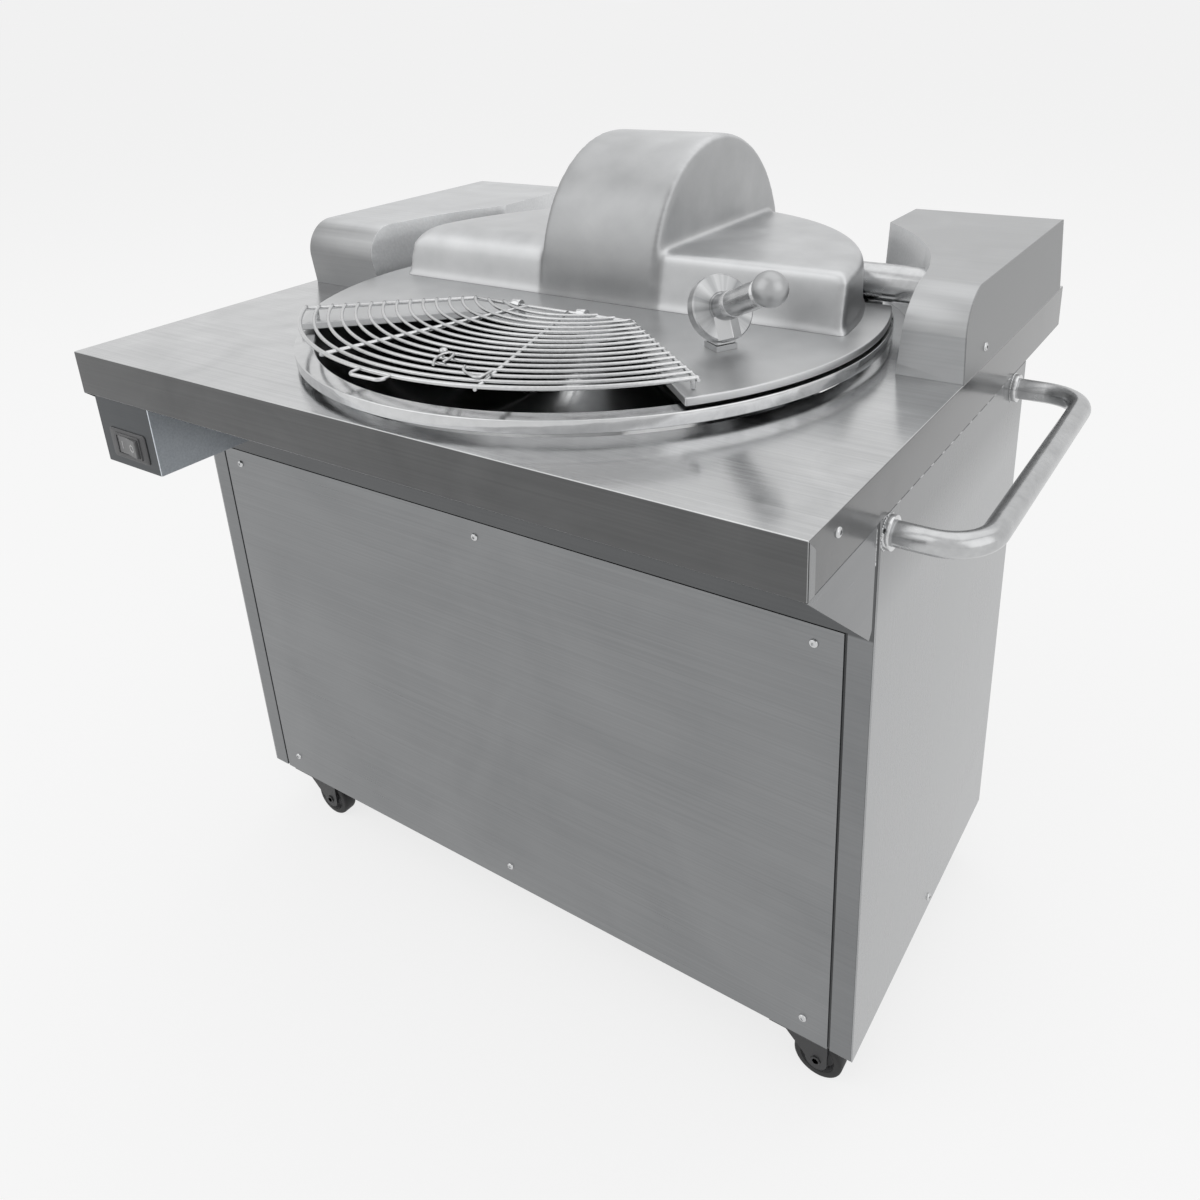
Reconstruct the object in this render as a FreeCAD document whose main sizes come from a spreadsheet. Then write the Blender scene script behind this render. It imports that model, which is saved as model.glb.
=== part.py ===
# Meat and vegetable cutter: a bowl cutter on a sheet-metal cabinet with castors.
# The bowl turns about a vertical axis in a round opening of the worktop. Knives turn about a
# horizontal axis under a hinged lid with a domed hood, and a wire guard covers the lid's opening.
# Millimetres. X to the right, Y to the back, Z up. The origin is on the floor, below the middle.

import FreeCAD, Part
import math
import os
import Sketcher
from FreeCAD import Placement, Rotation, Vector

doc = FreeCAD.newDocument("bowl_cutter")
sheet = doc.addObject("Spreadsheet::Sheet", "Sizes")


class Size:
    """A length or an angle: its value now, and the expression that the document keeps for it."""

    def __init__(self, value, text):
        self.value = float(value)
        self.text = text

    def __add__(self, other):
        other = as_size(other)
        return Size(self.value + other.value, f"({self.text} + {other.text})")

    def __sub__(self, other):
        other = as_size(other)
        return Size(self.value - other.value, f"({self.text} - {other.text})")

    def __mul__(self, other):
        other = as_size(other)
        return Size(self.value * other.value, f"({self.text} * {other.text})")

    def __truediv__(self, other):
        other = as_size(other)
        return Size(self.value / other.value, f"({self.text} / {other.text})")

    def __neg__(self):
        return Size(-self.value, f"(0 - {self.text})")

    def __radd__(self, other):
        return as_size(other) + self

    def __rsub__(self, other):
        return as_size(other) - self

    def __rmul__(self, other):
        return as_size(other) * self


def as_size(number):
    return number if isinstance(number, Size) else Size(number, repr(number))


def root(size):
    return Size(math.sqrt(size.value), f"sqrt({size.text})")


def cosine(angle):
    angle = as_size(angle)
    return Size(math.cos(math.radians(angle.value)), f"cos({angle.text})")


def sine(angle):
    angle = as_size(angle)
    return Size(math.sin(math.radians(angle.value)), f"sin({angle.text})")


def tangent(angle):
    return sine(angle) / cosine(angle)


def larger(a, b):
    return Size(max(a.value, b.value), f"max({a.text}; {b.text})")


def arc_cosine(ratio):
    return Size(math.degrees(math.acos(ratio.value)), f"(acos({ratio.text}) / 1 deg)")


# Driving dimensions. Each is a cell of the sheet with its name as the alias.
DIMENSIONS = {
    # Cabinet and worktop
    "worktop_length": 1000,
    "worktop_depth": 815,
    "worktop_sheet": 2,
    "apron_height": 55,
    "front_overhang": 158,
    "gusset_length": 146,
    "gusset_drop": 116,
    "gusset_tip_length": 6,
    "gusset_tip_rise": 8,
    "cabinet_depth": 487,
    "cabinet_height": 694,
    "cabinet_sheet": 2,
    "castor_height": 86,
    "post_width": 26,
    "corner_plate": 110,
    "corner_plate_thickness": 5,
    "top_rail_height": 38,
    "bowl_well_depth": 90,
    "panel_gap": 3,
    "panel_top_gap": 1,
    "panel_lip": 50,
    "panel_screw_inset": 31,
    "panel_screw_rise": 31,
    "panel_screw_drop": 21,
    "screw_radius": 5,
    "screw_head": 2.5,
    "cover_screw_y": 72,
    "cover_screw_z": 22,
    "apron_screw_y": 57,
    "apron_screw_z": 19,
    "panel_side_screw_y": 37,
    "panel_side_screw_z": 20,
    # Bowl
    "bowl_from_left": 538,
    "bowl_from_front": 375,
    "bowl_radius": 363,
    "bowl_rim_rise": 22,
    "bowl_rim_depth": 14,
    "bowl_wall": 4,
    "bowl_wall_slope": 40,
    "bowl_hub_radius": 34,
    "bowl_hub_foot": 56,
    "bowl_hub_depth": 20,
    "bowl_boss_radius": 60,
    "bowl_boss_depth": 68,
    "bowl_opening_radius": 350,
    "belt_slot_side": 5,
    "belt_slot_end": 8,
    "bowl_shaft_radius": 15,
    "bowl_shaft_length": 190,
    "bowl_flange_radius": 36,
    "bowl_flange_thickness": 8,
    "bowl_nut_radius": 22,
    "bowl_nut_height": 18,
    # Knives and spindle
    "knife_offset": 171,
    "knife_axis_height": 52,
    "knife_radius": 146,
    "knife_clearance": 4,
    "knife_thickness": 4,
    "knife_pitch": 16,
    "knife_eye_radius": 32,
    "knife_spacer_radius": 26,
    "knife_nut_radius": 22,
    "knife_shaft_radius": 14,
    "knife_tip_start": 4,
    "knife_tip_end": 34,
    "running_gap": 0.05,
    "rest_gap": 0.3,
    "spindle_radius": 23,
    "spindle_bore": 20,
    "spindle_reach": 70,
    "spindle_cover_depth": 130,
    "spindle_collar_length": 6,
    "pedestal_margin": 14,
    "pedestal_shoulder": 8,
    "pedestal_depth": 20,
    "pedestal_end": 2,
    "bearing_width": 15,
    # Lid and hood
    "lid_radius": 360,
    "lid_thickness": 9,
    "lid_gap": 3,
    "lid_opening_edge": 100,
    "lid_opening_angle": 49,
    "lid_opening_reach": 380,
    "lid_slot_clearance": 7,
    "dome_radius": 326,
    "dome_height": 66,
    "dome_wall": 4,
    "dome_front": 8,
    "dome_lean": 12,
    "dome_corner_right": 12,
    "dome_corner_left": 38,
    "hood_radius": 168,
    "hood_half_width": 87,
    # Lid hinge
    "hinge_offset": 395,
    "hinge_height": 42,
    "hinge_pin_radius": 6,
    "hinge_knuckle_radius": 12,
    "hinge_width": 80,
    "hinge_ear": 10,
    "hinge_ear_round": 14,
    "hinge_ear_spread": 8,
    "hinge_base": 5,
    "hinge_foot_margin": 12,
    "hinge_back_gap": 2,
    "hinge_pin_end": 3,
    "hinge_side_gap": 0.5,
    "hinge_strap_rise": 3,
    # Wire guard
    "guard_radius": 352,
    "guard_height": 50,
    "guard_wire": 2,
    "guard_frame_wire": 2.5,
    "guard_spacing": 15.8,
    "guard_arcs": 15,
    "guard_loop_width": 44,
    "guard_loop_reach": 16,
    "guard_loop_bend": 7,
    "guard_loop_overlap": 2,
    "guard_loop_angle": -2.5,
    "guard_angle": 51.5,
    "guard_pivot_offset": 92,
    "guard_left_ray": 0.37,
    "guard_right_ray": 0.33,
    "guard_foot_inset": 12,
    "guard_lug_width": 12,
    "guard_lug_spread": 48,
    "guard_lug_wall": 4,
    "guard_pivot_end": 4,
    # Covers at the back
    "right_cover_width": 195,
    "right_cover_height": 98,
    "left_cover_inset": 11.5,
    "left_cover_width": 197,
    "left_cover_height": 91,
    "cover_wall": 3,
    "cover_front": 375,
    "cover_back": 797,
    "cover_lean": 5,
    "cover_back_lean": 26,
    "cover_round": 46,
    "cover_sweep_radius": 388,
    "cover_sweep_lean": 12,
    # Belt drive and motor
    "pulley_radius": 32,
    "pulley_flange_radius": 38,
    "pulley_width": 22,
    "pulley_from_side": 44,
    "pulley_flange": 3,
    "shaft_end": 4,
    "belt_thickness": 7,
    "belt_gap": 0.3,
    "motor_radius": 75,
    "motor_length": 230,
    "motor_gap": 14,
    "motor_boss": 6,
    "motor_feet_inset": 30,
    "motor_foot_height": 8,
    "motor_bore_depth": 20,
    "motor_drop": 452,
    "motor_shelf_sheet": 5,
    "motor_shelf_margin": 20,
    "motor_shaft_radius": 12,
    # Bowl drive
    "bridge_drop": 180,
    "bridge_sheet": 6,
    "bridge_depth": 200,
    "bearing_housing_radius": 45,
    "housing_foot": 22,
    "housing_foot_height": 10,
    "housing_shoulder": 18,
    "housing_gap": 6,
    "bridge_hole_inset": 4,
    "bowl_bearing_radius": 27,
    "gearbox_side": 130,
    "gearbox_height": 90,
    "gearbox_floor": 10,
    "gear_motor_radius": 55,
    "gear_motor_height": 150,
    # Push handle
    "handle_reach": 97,
    "handle_tube": 12.5,
    "handle_wall": 2,
    "handle_bend": 45,
    "handle_drop": 73,
    "handle_front": 173,
    "handle_rear": 592,
    "handle_collar_radius": 17,
    "handle_collar_length": 7,
    # Control box and switch
    "control_from_left": 10,
    "control_width": 113,
    "control_height": 94,
    "control_setback": 7,
    "control_sheet": 2,
    "switch_length": 76,
    "switch_height": 40,
    "switch_drop": 63,
    "switch_plate_thickness": 3,
    "rocker_length": 46,
    "rocker_height": 24,
    "rocker_gap": 0.4,
    "rocker_tilt": 8,
    "rocker_end_gap": 1,
    "rocker_crown": 0.3,
    "rocker_depth": 1,
    "rocker_pivot_radius": 3,
    "switch_window_margin": 2,
    # Lever
    "lever_x": 228,
    "lever_y": -89,
    "lever_foot_width": 26,
    "lever_foot_height": 6.5,
    "lever_neck_radius": 12,
    "lever_stud_gap": 1,
    "lever_stud_radius": 7,
    "lever_hub_radius": 36,
    "lever_hub_thickness": 14,
    "lever_hub_height": 43,
    "lever_turn": 30,
    "lever_rise": 24,
    "lever_arm_radius": 13.5,
    "lever_arm_length": 82,
    "lever_ball_radius": 18.5,
    "lever_ball_seat": 5,
    # Castors
    "castor_inset_x": 74,
    "castor_inset_y": 34,
    "castor_plate": 64,
    "castor_plate_thickness": 4,
    "castor_wheel_radius": 31,
    "castor_wheel_width": 22,
    "castor_trail": 22,
    "castor_cheek": 3,
    "castor_cheek_gap": 0.8,
    "castor_axle_radius": 4,
    "castor_neck_radius": 20,
    "castor_cheek_radius": 14,
    "castor_wheel_gap": 2,
    "castor_tyre_round": 4,
    "castor_crown_round": 4,
}


class Sizes:
    """The sheet's cells, by alias."""


def write_sheet(dimensions):
    sizes = Sizes()
    for row, (name, value) in enumerate(dimensions.items(), 1):
        sheet.set(f"A{row}", name)
        sheet.set(f"B{row}", str(value))
        sheet.setAlias(f"B{row}", name)
        setattr(sizes, name, Size(value, f"Sizes.{name}"))
    doc.recompute()
    return sizes


s = write_sheet(DIMENSIONS)

# Places that several pieces share.
LEFT = -(s.worktop_length + s.handle_reach) / 2
RIGHT = LEFT + s.worktop_length
FRONT = -s.worktop_depth / 2
BACK = FRONT + s.worktop_depth
CABINET_BOTTOM = s.castor_height
CABINET_TOP = CABINET_BOTTOM + s.cabinet_height
TOP = CABINET_TOP + s.apron_height
CABINET_FRONT = FRONT + s.front_overhang
CABINET_BACK = CABINET_FRONT + s.cabinet_depth
BOWL_X = LEFT + s.bowl_from_left
BOWL_Y = FRONT + s.bowl_from_front
KNIFE_Y = BOWL_Y + s.knife_offset
KNIFE_Z = TOP + s.knife_axis_height
RIM_TOP = TOP + s.bowl_rim_rise
LID_BOTTOM = RIM_TOP + s.lid_gap
LID_TOP = LID_BOTTOM + s.lid_thickness
HINGE_Y = BOWL_Y + s.hinge_offset
HINGE_Z = TOP + s.hinge_height
GUARD_Z = TOP + s.guard_height
GUARD_PIVOT_Y = BOWL_Y - s.guard_pivot_offset
PULLEY_X = RIGHT - s.pulley_from_side
MOTOR_Z = KNIFE_Z - s.motor_drop
BRIDGE_TOP = TOP - s.bridge_drop
FRAME_TOP = CABINET_TOP - s.bowl_well_depth
PANEL_TOP = FRAME_TOP - s.top_rail_height
FRAME_INSET = larger(s.cabinet_sheet, s.worktop_sheet)

# How far a cutting piece reaches past what it cuts, and how far it starts before it.
CUTTER = 60.0
OVERCUT = 1.0

# Angles in degrees. The front side is counted from +X.
QUARTER_TURN = 90
FRONT_SIDE = 270

ALONG_X = Rotation(Vector(0, 1, 0), 90)
ALONG_Y = Rotation(Vector(1, 0, 0), -90)
UPRIGHT = Rotation()
TURNS = {"x": ALONG_X, "y": ALONG_Y, "z": UPRIGHT}


def bind(thing, prop, size):
    thing.setExpression(prop, as_size(size).text)


def place(thing, position, rotation=UPRIGHT):
    x, y, z = (as_size(value) for value in position)
    thing.Placement = Placement(Vector(x.value, y.value, z.value), rotation)
    bind(thing, "Placement.Base.x", x)
    bind(thing, "Placement.Base.y", y)
    bind(thing, "Placement.Base.z", z)
    return thing


def block(name, corner, length, width, height):
    box = doc.addObject("Part::Box", name)
    bind(box, "Length", length)
    bind(box, "Width", width)
    bind(box, "Height", height)
    return place(box, corner)


def slab(name, corner, opposite):
    """A block between two corners."""
    sides = [as_size(b) - a for a, b in zip(corner, opposite)]
    return block(name, corner, *sides)


def rod(name, start, radius, length, axis="z"):
    cylinder = doc.addObject("Part::Cylinder", name)
    bind(cylinder, "Radius", radius)
    bind(cylinder, "Height", length)
    return place(cylinder, start, TURNS[axis])


def bend(name, centre, radius, tube, start_angle, sweep):
    """Part of a torus that lies flat, from start_angle over sweep degrees."""
    torus = doc.addObject("Part::Torus", name)
    bind(torus, "Radius1", radius)
    bind(torus, "Radius2", tube)
    bind(torus, "Angle3", sweep)
    place(torus, centre)
    torus.Placement.Rotation = Rotation(Vector(0, 0, 1), as_size(start_angle).value)
    bind(torus, "Placement.Rotation.Angle", start_angle)
    return torus


def fuse(name, *pieces):
    union = doc.addObject("Part::MultiFuse", name)
    union.Shapes = list(pieces)
    return union


def cut(name, base, *tools):
    tool = tools[0] if len(tools) == 1 else fuse(name + "_tools", *tools)
    difference = doc.addObject("Part::Cut", name)
    difference.Base = base
    difference.Tool = tool
    return difference


def origin_plane(body, role):
    return [plane for plane in body.Origin.OriginFeatures if plane.Role == role][0]


def draw(sketch, outline):
    """Close an outline. An entry (x, y) ends a straight edge, and (x, y, radius, side) ends
    an arc whose centre lies to the left (+1) or the right (-1) of its chord."""
    points = [(as_size(entry[0]), as_size(entry[1])) for entry in outline]
    ends = []
    for index, entry in enumerate(outline):
        start, end = points[index - 1], points[index]
        a = Vector(start[0].value, start[1].value, 0)
        b = Vector(end[0].value, end[1].value, 0)
        if len(entry) == 2:
            edge = sketch.addGeometry(Part.LineSegment(a, b), False)
            ends.append((edge, 1, 2))
            continue
        radius, side = as_size(entry[2]), entry[3]
        chord = b - a
        rise = math.sqrt(max(radius.value ** 2 - chord.Length ** 2 / 4, 0.0))
        centre = (a + b) / 2 + Vector(-chord.y, chord.x, 0) / chord.Length * rise * side
        first, last = (a, b) if side > 0 else (b, a)
        begin = math.atan2(first.y - centre.y, first.x - centre.x)
        finish = math.atan2(last.y - centre.y, last.x - centre.x)
        if finish <= begin:
            finish += 2 * math.pi
        circle = Part.Circle(centre, Vector(0, 0, 1), radius.value)
        edge = sketch.addGeometry(Part.ArcOfCircle(circle, begin, finish), False)
        ends.append((edge, 1, 2) if side > 0 else (edge, 2, 1))
        if rise > 0.001:
            size = sketch.addConstraint(Sketcher.Constraint("Radius", edge, radius.value))
            bind(sketch, f"Constraints[{size}]", radius)
            continue
        # A half circle has its centre level with its ends.
        way, level = ("DistanceX", start[0]) if abs(chord.x) < abs(chord.y) else ("DistanceY", start[1])
        size = sketch.addConstraint(Sketcher.Constraint(way, -1, 1, edge, 3, level.value))
        bind(sketch, f"Constraints[{size}]", level)
    for index, (x, y) in enumerate(points):
        edge, _, end = ends[index]
        following, start, _ = ends[(index + 1) % len(ends)]
        sketch.addConstraint(Sketcher.Constraint("Coincident", edge, end, following, start))
        across = sketch.addConstraint(Sketcher.Constraint("DistanceX", -1, 1, edge, end, x.value))
        up = sketch.addConstraint(Sketcher.Constraint("DistanceY", -1, 1, edge, end, y.value))
        bind(sketch, f"Constraints[{across}]", x)
        bind(sketch, f"Constraints[{up}]", y)


def sketched_body(name, role, outline):
    body = doc.addObject("PartDesign::Body", name)
    sketch = body.newObject("Sketcher::SketchObject", name + "_outline")
    sketch.AttachmentSupport = (origin_plane(body, role), [""])
    sketch.MapMode = "FlatFace"
    draw(sketch, outline)
    return body, sketch


def pad(name, role, outline, length, position, rotation=UPRIGHT):
    """Extrude an outline of X and Y upwards, of Y and Z to the right, or of X and Z to the back."""
    body, sketch = sketched_body(name, role, outline)
    feature = body.newObject("PartDesign::Pad", name + "_pad")
    feature.Profile = sketch
    feature.Reversed = role == "XZ_Plane"
    bind(feature, "Length", length)
    return place(body, position, rotation)


def turned(name, outline, position, axis="V_Axis", angle=360, rotation=UPRIGHT):
    """Revolve an outline about its vertical axis, or about its horizontal one for H_Axis."""
    body, sketch = sketched_body(name, "XZ_Plane", outline)
    feature = body.newObject("PartDesign::Revolution", name + "_turn")
    feature.Profile = sketch
    feature.ReferenceAxis = (sketch, [axis])
    feature.Angle = angle
    return place(body, position, rotation)


NODES = []


def node(name, piece):
    """Name a finished piece. The name is also its file's name."""
    piece.Label = name
    NODES.append((name, piece))
    return piece


# Cabinet

def cabinet_frame():
    inner = FRAME_INSET
    posts = []
    for side, x in (("left", LEFT + inner), ("right", RIGHT - inner - s.post_width)):
        for end, y in (("front", CABINET_FRONT), ("rear", CABINET_BACK - inner - s.post_width)):
            posts.append(block(
                f"post_{side}_{end}", (x, y, CABINET_BOTTOM), s.post_width, s.post_width,
                s.cabinet_height + s.apron_height - s.worktop_sheet))
    front_rail = slab(
        "front_rail", (LEFT + inner + s.post_width, CABINET_FRONT, PANEL_TOP),
        (RIGHT - inner - s.post_width, CABINET_FRONT + s.cabinet_sheet, FRAME_TOP))
    lip_outer = slab(
        "lip_outer", (LEFT + inner, CABINET_FRONT + s.cabinet_sheet, CABINET_BOTTOM),
        (RIGHT - inner, CABINET_FRONT + s.cabinet_sheet * 2, FRAME_TOP))
    margin = s.post_width + s.panel_lip
    lip_window = slab(
        "lip_window", (LEFT + margin, CABINET_FRONT, CABINET_BOTTOM + s.panel_lip),
        (RIGHT - margin, CABINET_FRONT + CUTTER, PANEL_TOP - s.panel_lip))
    lip = cut("panel_lips", lip_outer, lip_window)
    rails = []
    for level, z in (("lower", CABINET_BOTTOM), ("upper", FRAME_TOP - s.post_width)):
        rails.append(block(
            f"rear_rail_{level}",
            (LEFT + inner + s.post_width, CABINET_BACK - inner - s.post_width, z),
            s.worktop_length - inner * 2 - s.post_width * 2, s.post_width, s.post_width))
        for side, x in (("left", LEFT + inner), ("right", RIGHT - inner - s.post_width)):
            rails.append(block(
                f"side_rail_{side}_{level}", (x, CABINET_FRONT + s.post_width, z), s.post_width,
                s.cabinet_depth - inner - s.post_width * 2, s.post_width))
    corners = []
    for side, x in (("left", LEFT + inner), ("right", RIGHT - inner - s.corner_plate)):
        for end, y in (("front", CABINET_FRONT + s.cabinet_sheet),
                       ("rear", CABINET_BACK - inner - s.corner_plate)):
            corners.append(block(
                f"corner_plate_{side}_{end}", (x, y, CABINET_BOTTOM), s.corner_plate,
                s.corner_plate, s.corner_plate_thickness))
    return node("cabinet_frame", fuse("frame", *posts, front_rail, lip, *rails, *corners))


def cabinet_skins():
    for side, x in (("left", LEFT), ("right", RIGHT - s.cabinet_sheet)):
        panel = block(
            f"side_{side}", (x, CABINET_FRONT, CABINET_BOTTOM), s.cabinet_sheet, s.cabinet_depth,
            s.cabinet_height)
        node(f"side_panel_{side}", panel)
    rear = slab(
        "rear", (LEFT + s.cabinet_sheet, CABINET_BACK - s.cabinet_sheet, CABINET_BOTTOM),
        (RIGHT - s.cabinet_sheet, CABINET_BACK, FRAME_TOP))
    node("rear_panel", rear)


def panel_span():
    margin = FRAME_INSET + s.post_width + s.panel_gap
    left = LEFT + margin
    width = s.worktop_length - margin * 2
    height = PANEL_TOP - s.panel_top_gap - CABINET_BOTTOM
    return left, width, height


def front_panel():
    left, width, height = panel_span()
    panel = block(
        "panel", (left, CABINET_FRONT, CABINET_BOTTOM), width, s.cabinet_sheet, height)
    return node("front_panel", panel)


def screw(name, start, direction):
    """A pan head that lies on a face, with its axis along X or towards the front."""
    if direction == "x":
        return rod(name, start, s.screw_radius, s.screw_head, "x")
    x, y, z = start
    return rod(name, (x, y - s.screw_head, z), s.screw_radius, s.screw_head, "y")


def front_panel_screws():
    left, width, height = panel_span()
    heads = []
    for column, x in enumerate(
            (left + s.panel_screw_inset, left + width / 2, left + width - s.panel_screw_inset)):
        for row, z in enumerate(
                (CABINET_BOTTOM + s.panel_screw_rise, CABINET_BOTTOM + height - s.panel_screw_drop)):
            heads.append(screw(f"panel_screw_{column}_{row}", (x, CABINET_FRONT, z), "y"))
    return node("front_panel_screws", fuse("panel_screws", *heads))


# Worktop

def worktop():
    outer = slab("worktop_outer", (LEFT, FRONT, CABINET_TOP), (RIGHT, BACK, TOP))
    inner = slab(
        "worktop_inner",
        (LEFT + s.worktop_sheet, FRONT + s.worktop_sheet, CABINET_TOP),
        (RIGHT - s.worktop_sheet, BACK - s.worktop_sheet, TOP - s.worktop_sheet))
    opening = rod(
        "bowl_opening", (BOWL_X, BOWL_Y, CABINET_TOP), s.bowl_opening_radius, CUTTER * 2)
    slot_half = s.pulley_width / 2 + s.belt_slot_side
    slot_reach = s.pulley_flange_radius + s.belt_slot_end
    belt_slot = block(
        "belt_slot", (PULLEY_X - slot_half, KNIFE_Y - slot_reach, CABINET_TOP),
        slot_half * 2, slot_reach * 2, CUTTER * 2)
    return node("worktop", cut("top_sheet", outer, inner, opening, belt_slot))


def gusset(side, x):
    rear = s.gusset_length
    outline = (
        (0, 0),
        (rear - s.gusset_tip_length, -s.gusset_drop),
        (rear, s.gusset_tip_rise - s.gusset_drop),
        (rear, 0),
    )
    plate = pad(
        f"gusset_plate_{side}", "YZ_Plane", outline, s.worktop_sheet, (x, FRONT, CABINET_TOP))
    return node(f"gusset_{side}", plate)


# Bowl and its drive

def trough_height(radius, distance):
    """Height of the lower arc of the trough, of this radius, at a distance from the bowl axis."""
    reach = s.knife_offset - distance
    return s.knife_axis_height - root(radius * radius - reach * reach)


def bowl():
    inner = s.knife_radius + s.knife_clearance
    outer = inner + s.bowl_wall
    slope = s.bowl_wall_slope
    inner_top = s.knife_offset + inner * cosine(slope)
    inner_drop = s.knife_axis_height - inner * sine(slope)
    rim_inner = inner_top + (s.bowl_rim_rise - inner_drop) * tangent(slope)
    under_rim = s.bowl_rim_rise - s.bowl_wall
    wall_under_rim = (
        inner_top + (under_rim - inner_drop) * tangent(slope) + s.bowl_wall / cosine(slope))
    outline = (
        (s.bowl_shaft_radius, -s.bowl_hub_depth),
        (s.bowl_hub_radius, -s.bowl_hub_depth),
        (s.bowl_hub_foot, trough_height(inner, s.bowl_hub_foot)),
        (inner_top, inner_drop, inner, 1),
        (rim_inner, s.bowl_rim_rise),
        (s.bowl_radius, s.bowl_rim_rise),
        (s.bowl_radius, s.bowl_rim_rise - s.bowl_rim_depth),
        (s.bowl_radius - s.bowl_wall, s.bowl_rim_rise - s.bowl_rim_depth),
        (s.bowl_radius - s.bowl_wall, under_rim),
        (wall_under_rim, under_rim),
        (s.knife_offset + outer * cosine(slope), s.knife_axis_height - outer * sine(slope)),
        (s.bowl_boss_radius, trough_height(outer, s.bowl_boss_radius), outer, -1),
        (s.bowl_boss_radius, -s.bowl_boss_depth),
        (s.bowl_shaft_radius, -s.bowl_boss_depth),
    )
    return node("bowl", turned("bowl_shell", outline, (BOWL_X, BOWL_Y, TOP)))


def bowl_shaft():
    shoulder = -s.bowl_boss_depth
    outline = (
        (0, -s.bowl_hub_depth),
        (0, shoulder - s.bowl_shaft_length),
        (s.bowl_shaft_radius, shoulder - s.bowl_shaft_length),
        (s.bowl_shaft_radius, shoulder - s.bowl_flange_thickness),
        (s.bowl_flange_radius, shoulder - s.bowl_flange_thickness),
        (s.bowl_flange_radius, shoulder),
        (s.bowl_shaft_radius, shoulder),
        (s.bowl_shaft_radius, -s.bowl_hub_depth),
    )
    return node("bowl_shaft", turned("bowl_spindle", outline, (BOWL_X, BOWL_Y, TOP)))


def bowl_nut():
    crown = s.bowl_nut_height / 3
    outline = (
        (0, -s.bowl_hub_depth),
        (s.bowl_nut_radius, -s.bowl_hub_depth),
        (s.bowl_nut_radius, s.bowl_nut_height - s.bowl_hub_depth - crown),
        (s.bowl_nut_radius - crown, s.bowl_nut_height - s.bowl_hub_depth, crown, 1),
        (0, s.bowl_nut_height - s.bowl_hub_depth),
    )
    return node("bowl_nut", turned("bowl_clamp_nut", outline, (BOWL_X, BOWL_Y, TOP)))


def bowl_bearing_housing():
    height = s.bridge_drop - s.bowl_boss_depth - s.bowl_flange_thickness - s.housing_gap
    foot = s.bearing_housing_radius + s.housing_foot
    outline = (
        (s.bowl_bearing_radius, 0),
        (foot, 0),
        (foot, s.housing_foot_height),
        (s.bearing_housing_radius, s.housing_shoulder),
        (s.bearing_housing_radius, height),
        (s.bowl_bearing_radius, height),
    )
    housing = turned("bowl_bearing_body", outline, (BOWL_X, BOWL_Y, BRIDGE_TOP))
    node("bowl_bearing_housing", housing)
    rings = []
    for level, z in (("lower", BRIDGE_TOP), ("upper", BRIDGE_TOP + height - s.bearing_width)):
        ring = rod(
            f"bowl_ring_{level}", (BOWL_X, BOWL_Y, z), s.bowl_bearing_radius, s.bearing_width)
        bore = rod(
            f"bowl_ring_bore_{level}", (BOWL_X, BOWL_Y, z),
            s.bowl_shaft_radius + s.running_gap, s.bearing_width)
        rings.append(cut(f"bowl_bearing_{level}", ring, bore))
    node("bowl_bearings", fuse("bowl_bearing_pair", *rings))


def bowl_bridge():
    plate = block(
        "bridge_plate",
        (LEFT + s.cabinet_sheet, BOWL_Y - s.bridge_depth / 2, BRIDGE_TOP - s.bridge_sheet),
        s.worktop_length - s.cabinet_sheet * 2, s.bridge_depth, s.bridge_sheet)
    ribs = []
    for side, y in (("front", BOWL_Y - s.bridge_depth / 2),
                    ("rear", BOWL_Y + s.bridge_depth / 2 - s.bridge_sheet)):
        ribs.append(block(
            f"bridge_rib_{side}",
            (LEFT + s.cabinet_sheet, y, BRIDGE_TOP - s.bridge_sheet - s.post_width),
            s.worktop_length - s.cabinet_sheet * 2, s.bridge_sheet, s.post_width))
    hole = rod(
        "bridge_hole", (BOWL_X, BOWL_Y, BRIDGE_TOP - CUTTER),
        s.bowl_bearing_radius - s.bridge_hole_inset, CUTTER * 2)
    return node("bowl_bridge", cut("bridge", fuse("bridge_body", plate, *ribs), hole))


def bowl_gearmotor():
    top = BRIDGE_TOP - s.bridge_sheet
    gearbox = block(
        "gearbox", (BOWL_X - s.gearbox_side / 2, BOWL_Y - s.gearbox_side / 2, top - s.gearbox_height),
        s.gearbox_side, s.gearbox_side, s.gearbox_height)
    motor = rod(
        "gear_motor", (BOWL_X, BOWL_Y, top - s.gearbox_height - s.gear_motor_height),
        s.gear_motor_radius, s.gear_motor_height)
    socket = rod(
        "gearbox_socket", (BOWL_X, BOWL_Y, top - s.gearbox_height + s.gearbox_floor),
        s.bowl_shaft_radius + s.running_gap, CUTTER * 2)
    return node("bowl_gearmotor", cut("gearmotor", fuse("gearmotor_body", gearbox, motor), socket))


# Knives and their drive

KNIFE_START = BOWL_X - s.knife_pitch * 1.5 - s.knife_thickness / 2
SPINDLE_START = BOWL_X + s.spindle_reach
SPINDLE_END = RIGHT - s.right_cover_width + s.spindle_cover_depth
SHAFT_SHOULDER = SPINDLE_START - s.spindle_collar_length


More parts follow.
